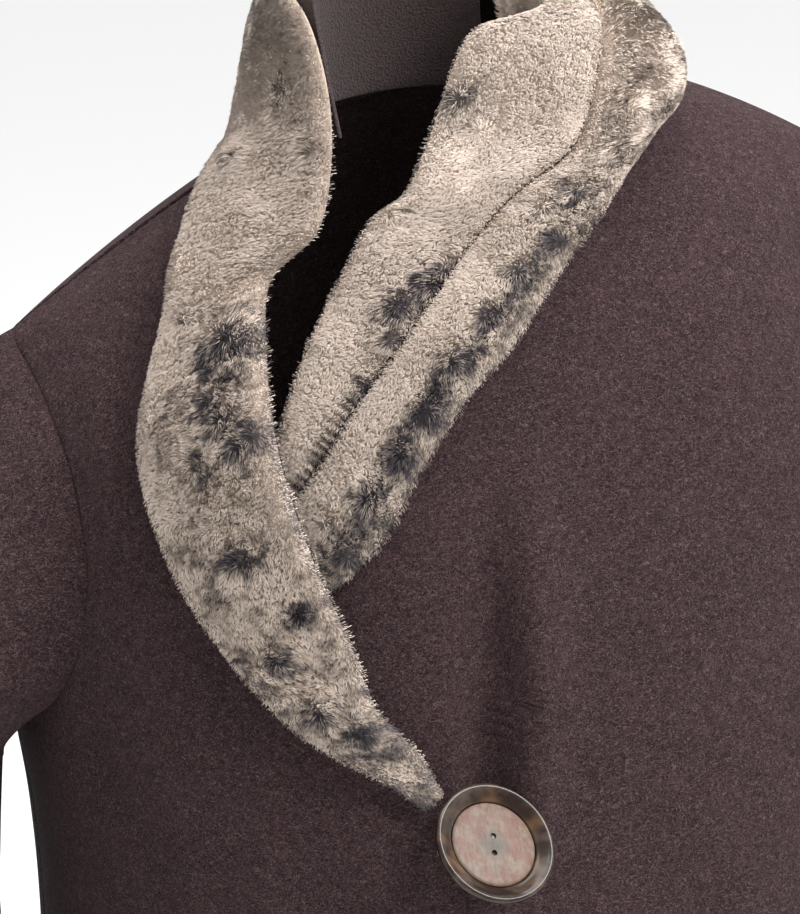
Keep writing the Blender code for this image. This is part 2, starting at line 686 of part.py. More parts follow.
def collar_cloth(name, frames, bed, guide, over):
    """Cloth just below the fur. It shows past the fur near the front end of the over half."""
    rows = []
    for (a, b, out, _, station), bed_row in zip(frames, bed):
        across = unit(b - a)
        row = [point - out * FUR_GAP for point in bed_row]
        beyond = through_rows(CLOTH_BEYOND_FUR, 1, station) if over else 0.0
        if beyond > 0:
            row[0] = kept_clear(row[0] - across * beyond, guide, COLLAR_LIFT) - out * FUR_GAP
        inset = ROLL_INSET * ease(station, *ROLL_STATIONS)
        row[-1] = row[-1] - across * inset
        row[-2] = row[-2] - across * inset
        rows.append(row)
    facing = frames[len(frames) // 2][2]
    return cloth_object(name, rows, lambda point: facing, COLLAR_CLOTH)


def build_collar(side_name, side, rows):
    over = side < 0
    lines = collar_lines(rows, COLLAR_LIFT, over)
    for name in ("outer", "groove", "inner"):
        lines[name][-1][0] = side * CENTRE_SEAM_HALF
    guide = collar_guide(side)
    falls = band_frames(lines, "outer", "groove", COLLAR_STEPS, -side)
    bed = band_bed(falls, guide)
    fur_band("fur_fall_" + side_name, falls, bed, pile_depth)
    collar_cloth("collar_cloth_" + side_name, falls, bed, guide, over)
    if not over:
        bands = band_frames(lines, "inner", "groove", LEFT_BAND_END, side)
        bed = band_bed(bands, guide)
        fur_band("fur_inner_" + side_name, bands, bed, inner_pile_depth)


def pile_depth(station):
    """Share of the pile's depth at a station: the fur is shorter at the collar's front end."""
    return TIP_PILE + (1 - TIP_PILE) * ease(station, 0.0, FULL_PILE_AT)


def inner_pile_depth(station):
    return INNER_PILE * pile_depth(station)


def build_neck_band():
    rows = []
    (high_turn, high), (low_turn, low) = NECK_BAND_START
    for share in (0.0, 0.5, 1.0):
        start = high_turn + (low_turn - high_turn) * share
        height = high + (low - high) * share
        row = []
        for i in range(NECK_BAND_STEPS + 1):
            turn = math.radians(start + (NECK_BAND_END - start) * i / NECK_BAND_STEPS)
            row.append(np.array([NECK_BAND_RADIUS[0] * math.sin(turn),
                                 NECK_BAND_MID_Y - NECK_BAND_RADIUS[1] * math.cos(turn), height]))
        rows.append(row)
    return cloth_object("neck_band", rows, from_axis, NECK_BAND_WALL, "wool_dark")


# ---- button ----
def button_frame():
    normal = Vector(BUTTON_NORMAL).normalized()
    right = Vector((0, 0, 1)).cross(normal).normalized() * -1
    up = normal.cross(right)
    turn = Matrix((right, up, normal)).transposed().to_4x4()
    return Matrix.Translation(BUTTON_CENTRE) @ turn


def turned(name, profile, colour):
    """Closed solid turned about Z from a profile of (radius, height), as mesh in the frame."""
    ring = bmesh.new()
    verts = [ring.verts.new((radius, 0.0, height)) for radius, height in profile]
    edges = [ring.edges.new(pair) for pair in zip(verts[:-1], verts[1:])]
    bmesh.ops.spin(ring, geom=verts + edges, cent=(0, 0, 0), axis=(0, 0, 1),
                   angle=2 * math.pi, steps=BUTTON_SEGMENTS, use_merge=True)
    bmesh.ops.remove_doubles(ring, verts=ring.verts, dist=MERGE)
    bmesh.ops.recalc_face_normals(ring, faces=ring.faces)
    mesh = bpy.data.meshes.new(name)
    ring.to_mesh(mesh)
    ring.free()
    mesh.shade_smooth()
    made = add_object(name, mesh, colour)
    made.matrix_world = button_frame()
    return made


def build_button():
    outer, inner = BUTTON_RADIUS, BUTTON_DISC_RADIUS
    rim = [
        (0.0, BUTTON_BACK), (0.60 * outer, BUTTON_BACK), (0.90 * outer, -0.0018), (outer, 0.0012),
        (0.985 * outer, 0.0027), (0.94 * outer, 0.0031), (0.87 * outer, 0.0024),
        (inner + 0.0016, 0.0008), (inner + 0.0003, -0.0002), (inner + 0.0003, -0.0012),
        (0.0, -0.0012),
    ]
    turned("button_rim", rim, "horn")
    disc = [(0.0, -0.0009), (inner - 0.0002, -0.0009), (inner - 0.0002, 0.0000),
            (inner - 0.0012, 0.0005), (0.0, 0.0004)]
    face = turned("button_disc", disc, "pearl")
    for sign in (-1, 1):
        bpy.ops.mesh.primitive_cylinder_add(vertices=HOLE_SIDES, radius=HOLE_RADIUS, depth=BUTTON_RADIUS)
        cutter = bpy.context.object
        cutter.name = "hole_cutter_" + ("a" if sign < 0 else "b")
        turn = math.radians(HOLE_TURN)
        place = Vector((math.cos(turn), math.sin(turn), 0.0)) * HOLE_SPREAD * sign
        cutter.matrix_world = button_frame() @ Matrix.Translation(place)
        cutter.hide_render = True
        cutter.display_type = "WIRE"
        for collection in list(cutter.users_collection):
            collection.objects.unlink(cutter)
        CUTTERS.objects.link(cutter)
        cut = face.modifiers.new("hole", "BOOLEAN")
        cut.operation = "DIFFERENCE"
        cut.object = cutter
    build_shank()
    build_loop()


def tube(name, points, radius, colour, resolution=2):
    """Round cord along points, with filled caps."""
    curve = bpy.data.curves.new(name, "CURVE")
    curve.dimensions = "3D"
    curve.bevel_depth = radius
    curve.bevel_resolution = resolution
    curve.use_fill_caps = True
    spline = curve.splines.new("POLY")
    spline.points.add(len(points) - 1)
    for place, point in zip(spline.points, points):
        place.co = (*point, 1.0)
    curve.materials.append(material(colour))
    made = bpy.data.objects.new(name, curve)
    PARTS.objects.link(made)
    return made


def build_shank():
    """Thread shank from the under front to the button's back, square to each."""
    frame = button_frame()
    back = frame @ Vector((0.0, 0.0, BUTTON_BACK - LAYER_GAP))
    below = frame @ Vector((0.0, 0.0, BUTTON_BACK - SHANK_SQUARE))
    foot = Vector(on_front(*SHANK_FOOT, 2 * LAYER_GAP))
    above = Vector(on_front(*SHANK_FOOT, SHANK_SQUARE))
    tube("button_shank", [foot, above, above.lerp(below, 0.5), below, back], SHANK_RADIUS, "thread")


def build_loop():
    """Cord loop sewn to the over front's edge and passed round the shank."""
    points = []
    for k in range(LOOP_STEPS + 1):
        turn = math.pi * (k / LOOP_STEPS - 0.5)
        ahead = LOOP_HALF_WIDTH * math.cos(turn)
        aside = LOOP_HALF_WIDTH * math.sin(turn)
        points.append((ahead, aside))
    ends = [(-LOOP_BACK * share, 1.0 - LOOP_DRAWN_IN * share) for share in (1.0, 0.66, 0.33)]
    route = [(ahead, -LOOP_HALF_WIDTH * width) for ahead, width in ends] + points
    route += [(ahead, LOOP_HALF_WIDTH * width) for ahead, width in reversed(ends)]
    tube("button_loop", [on_front(SHANK_FOOT[0] + x, SHANK_FOOT[1] + z, LOOP_LIFT)
                         for x, z in route], LOOP_RADIUS, "thread")


def main():
    build_back()
    cloth_object("front_left", front_rows(1), from_axis)
    cloth_object("front_right", front_rows(-1), from_axis)
    for name, side in (("sleeve_right", -1), ("sleeve_left", 1)):
        x, y = SLEEVE_MIDDLE
        cloth_object(name, sleeve_rows(side), lambda point, x=side * x: point - (x, y, point[2]),
                     closed=True)
    build_collar("left", 1, LEFT_COLLAR)
    build_collar("right", -1, RIGHT_COLLAR)
    build_neck_band()
    build_button()


for old in list(bpy.data.objects):
    bpy.data.objects.remove(old, do_unlink=True)
PARTS = bpy.data.collections.new("oversized_coat")
CUTTERS = bpy.data.collections.new("cutters")
bpy.context.scene.collection.children.link(PARTS)
bpy.context.scene.collection.children.link(CUTTERS)
main()
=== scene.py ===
"""Oversized felted-wool coat with a sheared-fur shawl collar: its finished surfaces and its stage.

Laid out as an add-on: one operator for each group of pieces, sizes and colours in property groups,
and a panel in the 3D view's sidebar. Metres, +Z up, the front faces -Y, the wearer's left is +X.
"""
import math

import bmesh
import bpy
import numpy as np
from bpy.props import FloatProperty, FloatVectorProperty, IntProperty, PointerProperty
from mathutils import Matrix, Vector
from mathutils.bvhtree import BVHTree


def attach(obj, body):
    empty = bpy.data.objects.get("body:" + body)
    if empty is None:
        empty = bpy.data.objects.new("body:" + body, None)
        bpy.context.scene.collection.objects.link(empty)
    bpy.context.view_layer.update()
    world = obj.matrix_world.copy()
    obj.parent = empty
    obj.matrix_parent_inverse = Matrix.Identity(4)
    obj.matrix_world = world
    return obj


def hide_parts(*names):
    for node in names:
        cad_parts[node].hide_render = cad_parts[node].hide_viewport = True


bl_info = {
    "name": "Oversized Coat",
    "version": (1, 0, 0),
    "blender": (4, 5, 0),
    "location": "View3D > Sidebar > Coat",
    "description": "Dresses the coat's solids with felted wool, sheared fur and a dished button",
    "category": "Add Mesh",
}

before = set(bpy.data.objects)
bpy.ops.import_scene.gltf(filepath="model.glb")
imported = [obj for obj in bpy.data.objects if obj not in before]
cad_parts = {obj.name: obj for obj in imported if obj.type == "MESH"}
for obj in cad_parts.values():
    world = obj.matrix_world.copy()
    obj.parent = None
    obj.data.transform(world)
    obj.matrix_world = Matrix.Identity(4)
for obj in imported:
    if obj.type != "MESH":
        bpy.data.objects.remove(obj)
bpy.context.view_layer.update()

# ---- body: sections of the outer face ----
HEM_LEVEL = -1.000
ARMPIT_LEVEL = -0.270
SIDE_ROUNDNESS = 0.88     # exponent of the body sections: 1 is an ellipse, less is boxier
BODY_COLUMNS = ("level", "half_width", "front", "back", "mid_y", "side_drop")
BODY = (
    (0.000, 0.205, 0.000, 0.000, 0.010, 0.080),
    (-0.008, 0.210, 0.034, 0.030, 0.010, 0.080),
    (-0.030, 0.214, 0.064, 0.056, 0.008, 0.076),
    (-0.060, 0.217, 0.090, 0.078, 0.006, 0.068),
    (-0.100, 0.219, 0.113, 0.098, 0.004, 0.056),
    (-0.150, 0.221, 0.132, 0.115, 0.002, 0.040),
    (-0.200, 0.222, 0.146, 0.126, 0.000, 0.026),
    (-0.270, 0.222, 0.160, 0.135, 0.000, 0.010),
    (-0.340, 0.220, 0.170, 0.139, 0.000, 0.002),
    (-0.450, 0.222, 0.175, 0.143, 0.000, 0.000),
    (-0.600, 0.232, 0.178, 0.151, 0.000, 0.000),
    (-0.800, 0.252, 0.188, 0.167, 0.000, 0.000),
    (-1.000, 0.274, 0.202, 0.184, 0.000, 0.000),
)
RIGHT_DROP, RIGHT_SLOPE = 1.12, 1.35      # the coat hangs lower on the wearer's right
LEFT_DROP, LEFT_SLOPE = 1.00, 1.90
TILT, TILT_END = 0.07, -0.40

# ---- edges of the fronts, neck of the back, armhole ----
RIGHT_EDGE = (            # level, x
    (-1.000, -0.046), (-0.340, -0.050), (-0.290, -0.056), (-0.270, -0.067), (-0.243, -0.083),
    (-0.213, -0.092), (-0.173, -0.102), (-0.137, -0.108), (-0.096, -0.110), (-0.050, -0.107),
    (-0.025, -0.094), (0.000, -0.084),
)
LEFT_EDGE = (             # level, x
    (-1.000, -0.146), (-0.340, -0.150), (-0.200, -0.146), (-0.140, -0.126), (-0.098, -0.098),
    (-0.066, -0.070), (-0.046, -0.034), (-0.032, 0.012), (-0.023, 0.040), (-0.015, 0.057),
    (-0.008, 0.069), (0.000, 0.084),
)
BACK_NECK = ((-0.022, 0.000), (-0.016, 0.040), (-0.008, 0.066), (0.000, 0.084))   # level, x
ARMHOLE = (               # level, angle from the middle on the front and on the back (degrees)
    (0.000, 77.0, 77.0), (-0.020, 68.0, 69.0), (-0.050, 62.0, 64.0), (-0.090, 58.0, 60.0),
    (-0.140, 57.0, 59.0), (-0.185, 60.0, 62.0), (-0.225, 66.0, 68.0), (-0.252, 75.0, 76.0),
    (-0.270, 89.8, 89.8),
)
SIDE_SEAM = 89.8          # degrees
SHOULDER_TOP = -0.0005
PANEL_LEVELS = (SHOULDER_TOP, -0.008, -0.016, BACK_NECK[0][0], -0.048, -0.112, -0.184, -0.242,
                ARMPIT_LEVEL, -0.340, -0.445, -0.570, -0.715, -0.865, HEM_LEVEL)
FRONT_COLUMNS = {"front_left": 120, "front_right": 60}      # of the mesh; finer under the pull fold
BACK_COLUMNS = 46                         # of each half
SEAM_HALF = 0.0007
SEAM_DIP = 0.0003         # a panel's edge is drawn in at a seam
WELD = 1e-5               # points of a grid nearer than this are one

# ---- overlap of the fronts ----
LAP_LIFT, LAP_START, LAP_FULL = 0.0037, -0.205, -0.160
LAP_TOP = (-0.095, -0.035)
CROSSING_LIFT, CROSSING, CROSSING_REACH = 0.0110, (-0.100, -0.142), (0.056, 0.078)

# ---- hanging folds: angle, spread (degrees), depth at the hem, level where they start ----
HANG_FOLDS = (
    (-158, 11, 0.010, -0.42), (-128, 9, 0.013, -0.36), (-101, 10, 0.009, -0.50),
    (-70, 8, 0.012, -0.40), (-47, 7, 0.007, -0.34), (32, 7, 0.008, -0.52), (58, 9, 0.012, -0.40),
    (84, 8, 0.008, -0.55), (112, 10, 0.013, -0.38), (140, 8, 0.009, -0.46), (167, 9, 0.011, -0.50),
)
FOLDS_FULL = -1.02
PULL_FOLD = ((-0.011, -0.185), (-0.028, -0.330), 0.011, 0.0075)   # ends (x, level), spread, depth
PULL_FOLD_FROM = (-0.058, -0.042)
# soft creases: angle and level of each end, width across, height (below 0 for a trough)
CREASES = (
    (-27, -0.270, -31, -0.470, 0.016, -0.0026), (-39, -0.300, -44, -0.600, 0.020, -0.0030),
    (-47, -0.030, -44, -0.120, 0.009, -0.0024), (-52, -0.035, -50, -0.150, 0.010, 0.0018),
    (-62, -0.250, -50, -0.330, 0.013, -0.0030), (20, -0.360, 26, -0.560, 0.017, 0.0024),
    (36, -0.300, 41, -0.470, 0.015, -0.0022), (60, -0.250, 50, -0.350, 0.012, -0.0030),
    (10, -0.520, 15, -0.860, 0.021, -0.0030), (-20, -0.560, -22, -0.900, 0.019, 0.0028),
    (47, -0.040, 45, -0.130, 0.010, -0.0020), (152, -0.120, 149, -0.300, 0.016, -0.0026),
    (-151, -0.110, -147, -0.280, 0.015, -0.0024), (120, -0.240, 131, -0.330, 0.013, -0.0028),
    (-118, -0.240, -128, -0.340, 0.014, -0.0030), (176, -0.260, 172, -0.640, 0.022, -0.0028),
    (-168, -0.300, -163, -0.520, 0.017, 0.0024),
)
CREASE_ARC = 0.21         # metres of arc to a radian
WAVES = 6                 # gentle waves over the whole cloth
WAVE_LENGTH = (0.070, 0.170)
WAVE_HEIGHT = 0.00030

# ---- sleeves, for the wearer's left ----
SLEEVE = (                # x, y, z of the centre, half width, half depth
    (0.3000, -0.002, -0.300, 0.0700, 0.088),
    (0.3060, -0.005, -0.345, 0.0705, 0.087),
    (0.3120, -0.009, -0.395, 0.0705, 0.084),
    (0.3195, -0.015, -0.450, 0.0700, 0.081),
    (0.3270, -0.022, -0.505, 0.0695, 0.078),
    (0.3345, -0.030, -0.560, 0.0685, 0.075),
    (0.3415, -0.038, -0.612, 0.0680, 0.073),
    (0.3475, -0.045, -0.660, 0.0675, 0.072),
)
SLEEVE_GAP = -0.0008      # the sleeve is tucked this far under the edge of its armhole
SLEEVE_FOLDS = (          # place along the arm, angle, spread (degrees), depth, reach along
    (0.30, 250, 60, 0.0060, 0.045), (0.44, 200, 46, 0.0050, 0.045), (0.55, 300, 52, 0.0055, 0.045),
    (0.70, 230, 48, 0.0045, 0.045), (0.86, 320, 44, 0.0035, 0.045), (0.37, 60, 40, 0.0022, 0.030),
    (0.62, 95, 44, 0.0020, 0.034), (0.20, 130, 36, 0.0022, 0.030), (0.50, 20, 34, 0.0018, 0.026),
    (0.78, 150, 40, 0.0020, 0.030),
)
CAP_LEAVE, CAP_ARRIVE = (1.0, 0.0, -0.38), (0.10, -0.05, -1.0)
CAP_REACH = 0.95
CAP_ROWS, ARM_ROWS = 33, 76               # of the mesh, in the sleeve's cap and below it
SLEEVE_STEP = 0.0065
SLEEVE_MIDDLE = (0.315, -0.010)           # x and y of a line inside the sleeve from end to end

# ---- collar: stations along each half, in millimetres ----
# y is None where a line lies on the front
COLLAR_COLUMNS = ("outer", "groove", "inner", "arch", "puff")
RIGHT_COLLAR = (
    ((-64, None, -297), (-55, None, -291), (-54, None, -289), 0, 0),
    ((-82, None, -281), (-63, None, -271), (-62, None, -270), 1, 0),
    ((-106, None, -264), (-79, None, -250), (-79, None, -249), 2, 0),
    ((-126, None, -241), (-85, None, -224), (-85, None, -224), 3, 0),
    ((-142, None, -213), (-94, None, -189), (-93, None, -189), 4, 0),
    ((-154, None, -181), (-100, None, -159), (-99, None, -160), 5, 0),
    ((-157, None, -149), (-102, None, -131), (-99, None, -131), 6, 1),
    ((-151, None, -120), (-99, None, -96), (-94, None, -95), 6, 2),
    ((-137, None, -90), (-91, None, -75), (-84, None, -73), 6, 3),
    ((-124, None, -65), (-70, -68, -54), (-66, -60, -56), 5, 3),
    ((-110, -14, -41), (-59, -57, -26), (-54, -50, -36), 2, 3),
    ((-93, 10, -33), (-56, -48, 4), (-52, -44, -26), 0, 4),
    ((-83, 32, -36), (-58, -30, 32), (-56, -30, -16), 0, 4),
    ((-76, 52, -44), (-61, 2, 46), (-60, 4, -10), 1, 4),
    ((-62, 70, -53), (-51, 36, 54), (-50, 34, -10), 5, 4),
    ((-36, 86, -59), (-27, 55, 57), (-27, 51, -10), 7, 4),
    ((0, 92, -62), (0, 60, 58), (0, 56, -10), 7, 4),
)
LEFT_COLLAR = (
    ((-110, None, -206), (-120, None, -186), (-126, None, -176), 0, 0),
    ((-90, None, -198), (-102, None, -163), (-114, None, -151), 2, 1),
    ((-69, None, -181), (-86, None, -145), (-101, None, -131), 5, 3),
    ((-50, None, -157), (-69, None, -126), (-90, None, -111), 7, 4),
    ((-25, None, -129), (-47, None, -104), (-77, None, -92), 8, 5),
    ((3, None, -106), (-24, None, -82), (-62, None, -74), 8, 6),
    ((24, None, -86), (-6, None, -65), (-45, None, -55), 8, 6),
    ((54, None, -62), (16, -86, -44), (-30, -72, -41), 9, 6),
    ((86, None, -39), (49, -74, -28), (-13, -60, -16), 12, 5),
    ((105, -50, -23), (69, -52, 2), (8, -56, 24), 13, 4),
    ((114, -16, -17), (76, -28, 24), (38, -48, 20), 9, 4),
    ((106, 30, -26), (70, 6, 40), (56, -16, 4), 5, 4),
    ((84, 60, -44), (58, 36, 50), (54, 22, -6), 5, 4),
    ((44, 84, -58), (31, 55, 56), (30, 48, -10), 7, 4),
    ((0, 92, -62), (0, 60, 58), (0, 56, -10), 7, 4),
)
PILE = 0.0105
PILE_SECTION = ((0.00, 0.22), (0.06, 0.66), (0.20, 0.92), (0.40, 1.00), (0.62, 1.00),
                (0.82, 0.92), (0.95, 0.64), (1.00, 0.22))
TIP_PILE, FULL_PILE_AT = 0.30, 2.4        # the fur is shorter at the collar's front end
INNER_PILE = 0.8
COLLAR_LIFT = 0.0040
COLLAR_CLOTH = 0.0026
FUR_GAP = 0.0004
CENTRE_SEAM_HALF = 0.0005
ROLL_INSET, ROLL_STATIONS = 0.0055, (7.0, 9.5)
CLOTH_BEYOND_FUR = ((0.0, 0.0035), (1.0, 0.0070), (2.2, 0.0030), (3.0, 0.0), (30.0, 0.0))
INNER_BAND_SHARE = 20 / 24                # of the collar's length that has the inner fur
BAND_STEPS, BAND_COLUMNS = 192, 32
OUT_SMOOTHING, CHORD = 190, 0.004          # rounds, and reach along for the band's direction
CLEAR_REACH = 0.020
GUIDE_STEP = 0.008                        # of the faces that the collar is laid on

# ---- neck band: turn from the front in degrees, height ----
NECK_BAND_WALL = 0.0022
NECK_BAND_RADIUS = (0.0580, 0.0540)
NECK_BAND_START = ((-72.0, 0.044), (-58.0, -0.022))
NECK_BAND_END = -224.0
NECK_BAND_MID_Y = -0.0040
NECK_BAND_ROWS, NECK_BAND_COLUMNS = 17, 73

# ---- button ----
BUTTON_RADIUS, BUTTON_DISC_RADIUS = 0.0285, 0.0200
BUTTON_CENTRE = (-0.0389, -0.1850, -0.3093)
BUTTON_NORMAL = (0.250, -0.668, 0.701)
BUTTON_BACK = -0.0036
HOLE_RADIUS, HOLE_SPREAD, HOLE_TURN = 0.0014, 0.0040, 64.0
SHANK_RADIUS, SHANK_FOOT, SHANK_SQUARE = 0.0022, (-0.0350, -0.3130), 0.0036
LOOP_RADIUS, LOOP_LIFT, LOOP_BACK, LOOP_HALF_WIDTH = 0.0013, 0.0055, 0.0250, 0.0065

# ---- fur: tone from 0, cream, to 1, slate ----
# along the band from its front end (0) to the middle of the back (1), and across it
RIGHT_TONE = (            # along, outer edge, middle, roll edge
    (0.00, 0.44, 0.42, 0.42), (0.12, 0.42, 0.34, 0.34), (0.20, 0.38, 0.28, 0.28),
    (0.30, 0.27, 0.30, 0.27), (0.38, 0.18, 0.33, 0.22), (0.45, 0.10, 0.14, 0.16),
    (0.55, 0.05, 0.04, 0.08), (0.75, 0.05, 0.05, 0.09), (1.00, 0.12, 0.10, 0.12),
)
LEFT_TONE = (             # along, outer edge, outer third, middle, groove
    (0.00, 0.32, 0.40, 0.18, 0.18), (0.15, 0.34, 0.46, 0.08, 0.00),
    (0.30, 0.30, 0.42, 0.04, 0.00), (0.42, 0.26, 0.34, 0.16, 0.04),
    (0.52, 0.32, 0.34, 0.21, 0.08), (0.60, 0.26, 0.24, 0.10, 0.01),
    (0.70, 0.16, 0.12, 0.07, 0.04), (1.00, 0.08, 0.08, 0.06, 0.06),
)
# the groove column is darker towards the front end: darker roots there, with painted shade in the groove
INNER_TONE = (            # along, neck edge, middle, groove
    (0.00, 0.18, 0.16, 0.28), (0.12, 0.13, 0.08, 0.32), (0.25, 0.13, 0.08, 0.28),
    (0.35, 0.14, 0.18, 0.22), (0.45, 0.11, 0.12, 0.12), (0.55, 0.05, 0.02, 0.06),
    (0.75, 0.04, 0.00, 0.02), (1.00, 0.08, 0.06, 0.08),
)
TUFTS = {                 # dark tufts of each band: along, across, reach (metres), darkness
    "right": (
        (0.724, 0.69, 0.0075, 0.50), (0.667, 0.28, 0.0050, 0.50), (0.495, 0.31, 0.0050, 0.46),
        (0.458, 0.76, 0.0120, 0.74), (0.411, 0.62, 0.0060, 0.30), (0.391, 0.69, 0.0080, 0.36),
        (0.365, 0.78, 0.0075, 0.34), (0.372, 0.90, 0.0060, 0.30), (0.276, 0.56, 0.0070, 0.30),
        (0.214, 0.78, 0.0050, 0.56), (0.188, 0.38, 0.0060, 0.32), (0.130, 0.41, 0.0070, 0.30),
        (0.094, 0.59, 0.0060, 0.26), (0.359, 0.47, 0.0050, 0.20), (0.651, 0.91, 0.0050, 0.22),
    ),
    "left": (
        (0.453, 0.53, 0.0075, 0.34), (0.427, 0.72, 0.0060, 0.34), (0.359, 0.41, 0.0080, 0.33),
        (0.401, 0.25, 0.0060, 0.20), (0.307, 0.44, 0.0070, 0.28), (0.260, 0.41, 0.0080, 0.28),
        (0.214, 0.28, 0.0085, 0.30), (0.170, 0.30, 0.0070, 0.25), (0.120, 0.38, 0.0070, 0.26),
        (0.073, 0.59, 0.0060, 0.25), (0.078, 0.16, 0.0060, 0.21), (0.562, 0.70, 0.0080, 0.13),
        (0.516, 0.59, 0.0070, 0.15),
    ),
    "inner": (
        (0.667, 0.09, 0.0065, 0.60), (0.703, 0.22, 0.0040, 0.34), (0.370, 0.94, 0.0080, 0.52),
        (0.333, 0.75, 0.0075, 0.44), (0.453, 0.16, 0.0070, 0.20), (0.396, 0.94, 0.0060, 0.30),
        (0.224, 0.97, 0.0050, 0.40), (0.290, 0.90, 0.0050, 0.26), (0.635, 0.31, 0.0060, 0.16),
    ),
}
# the dark strokes stand for partings of the pile at the groove: the darker roots that show in them, with
# painted shade down in the partings
RUNGS = {"inner": (0.085, 0.205)}         # where dark strokes cross the groove, along the band
RUNG_NUMBER, RUNG_DARKNESS = 11, 0.90
RUNG_WIDTH, RUNG_FADE = 0.24, 0.01        # of a stroke's share of the way, and at both ends of the row
RUNG_MIDDLE, RUNG_REACH = 0.0015, 0.0042  # distance from the groove, half length
HAIR_SECTION = ((0.00, 0.52), (0.06, 0.78), (0.20, 0.95), (0.40, 1.00), (0.62, 1.00), (0.82, 0.95),
                (0.94, 0.80), (1.00, 0.56))
ROOTS, PAD_TOP = 0.56, 0.64               # shares of the fur's depth
EDGE_REACH = 0.0060                       # hairs bend out over an edge, within this reach of it
SEAM_REACH, SEAM_COVER = 0.0060, 0.0042   # hairs near the seam at the back lean over it
EDGE_BEND = {"right": (1.50, 1.80), "left": (1.50, 0.75), "inner": (1.55, 0.75)}   # radians, each edge
EDGE_SHORTENING = 0.26                    # a bent hair is shorter by this much to a radian
MOST_HAIRS = 98000                        # of one piece
PARTING = 0.0004                          # hairs of one lock stand this much above the next
LUMPS = (0.0009, 0.017, 9)                # rise and fall of the fur's surface
HEIGHT_SPREAD = 0.0003
NAP, NAP_CHANGE = 0.0019, (0.0007, 0.030, 1)        # how far the tips lie over
NAP_TURNS, TURN_SPREAD = ((1.0, 0.022, 2), (0.9, 0.009, 3)), 0.45     # radians from the back
MIDDLE_RISE, MIDDLE_REACH = 0.80, 0.26    # where a hair bends: shares of its rise and of its lean
HAIR_WIDTHS = (0.7, 1.3)
FACE_SPREAD, NORMAL_SPREAD, NORMAL_LEAN = 0.22, 0.13, 0.30
# locks that the hairs gather into: spacing, pull to the middle, change of tone, number of the noise
LOCKS = ((0.0050, 0.17, 0.08, 4), (0.0021, 0.22, 0.08, 5))
# noises are given as strength, size of a patch and number
TONE_PATCHES = ((0.12, 0.012, 6), (0.17, 0.0050, 7), (0.14, 0.0022, 12))
TUFT_EDGE = ((0.35, 0.0035, 8), (0.30, 0.0016, 10))
RUNG_WAVER = ((0.18, 0.004, 11),)
FLECK, FLECK_DARKNESS = 0.0013, 0.24      # size of the small dark flecks
TONE_SPREAD = 0.04                        # from hair to hair
TUFT_SPREAD, TUFT_MIX = 1.15, (0.35, 1.55)
TUFT_SPLAY, SPLAY_REACH = 0.45, 0.006     # hairs lean away from the middle of their tuft
FUR_STRIPS = (            # band, node, tone, width of the cut, ends of its pieces along, seed
    ("right", "fur_fall_right", RIGHT_TONE, 0.075, (0.0, 0.44, 0.72, 1.0), 21),
    ("left", "fur_fall_left", LEFT_TONE, 0.070, (0.0, 0.5, 1.0), 41),
    ("inner", "fur_inner_left", INNER_TONE, 0.090, (0.0, 1.0), 61),
)


# ---- helpers on whole arrays ----
def hermite(first, last, leave, arrive, t):
    return (first * (1 + 2 * t) * (1 - t) ** 2 + leave * t * (1 - t) ** 2
            + last * t * t * (3 - 2 * t) + arrive * t * t * (t - 1))


def ease(value, start, end):
    """0 before start, 1 after end, smooth between."""
    t = np.clip((value - start) / (end - start), 0.0, 1.0)
    return t * t * (3 - 2 * t)


def window(value, start, full, fade, end):
    """0 outside start and end, 1 from full to fade, smooth between."""
    return ease(value, start, full) * (1 - ease(value, fade, end))


def bell(offset):
    return np.exp(-offset ** 2)


def degrees_apart(angle, other):
    """Angle, in radians, less other, in degrees, the short way round."""
    return (np.degrees(angle) - other + 180) % 360 - 180


def unit(vectors):
    return vectors / (np.linalg.norm(vectors, axis=-1, keepdims=True) + 1e-12)


class Smooth:
    """Smooth curve through the rows of a short table, without overshoot."""

    def __init__(self, rows, column=1):
        pairs = sorted((row[0], row[column]) for row in rows)
        self.places, self.values = np.array(pairs, dtype=float).T
        self.steps = np.diff(self.places)
        slopes = np.diff(self.values) / self.steps
        self.tangents = np.zeros(len(self.places))
        same = slopes[:-1] * slopes[1:] > 0
        self.tangents[1:-1][same] = 2.0 / (1.0 / slopes[:-1][same] + 1.0 / slopes[1:][same])
        self.tangents[0], self.tangents[-1] = slopes[0], slopes[-1]

    def __call__(self, at):
        at = np.clip(at, self.places[0], self.places[-1])
        i = np.clip(np.searchsorted(self.places, at, side="right") - 1, 0, len(self.steps) - 1)
        step = self.steps[i]
        return hermite(self.values[i], self.values[i + 1], step * self.tangents[i],
                       step * self.tangents[i + 1], (at - self.places[i]) / step)


def through(rows):
    """Smooth curve through rows of numbers that stand at 0, 1, 2 and so on."""
    columns = [Smooth(list(enumerate(values))) for values in zip(*rows)]
    return lambda at: np.stack([column(at) for column in columns], axis=-1)


BODY_AT = {name: Smooth(BODY, column) for column, name in enumerate(BODY_COLUMNS) if column}
EDGE_AT = {-1: Smooth(RIGHT_EDGE), 1: Smooth(LEFT_EDGE)}
NECK_AT = Smooth(BACK_NECK)
ARMHOLE_AT = {False: Smooth(ARMHOLE, 1), True: Smooth(ARMHOLE, 2)}
PILE_AT = Smooth(PILE_SECTION)
HAIR_AT = Smooth(HAIR_SECTION)
BEYOND_AT = Smooth(CLOTH_BEYOND_FUR)


def cloth_waves():
    """Directions, lengths and phases of the gentle waves."""
    rng = np.random.default_rng(11)
    ways = unit(rng.normal(size=(WAVES, 3)))
    lengths = rng.uniform(*WAVE_LENGTH, WAVES)
    return ways * (2 * math.pi / lengths)[:, None], rng.uniform(0, 2 * math.pi, WAVES)


WAVE_WAYS, WAVE_PHASES = cloth_waves()


def wave_height(points):
    return np.sin(points @ WAVE_WAYS.T + WAVE_PHASES).sum(axis=-1) * WAVE_HEIGHT


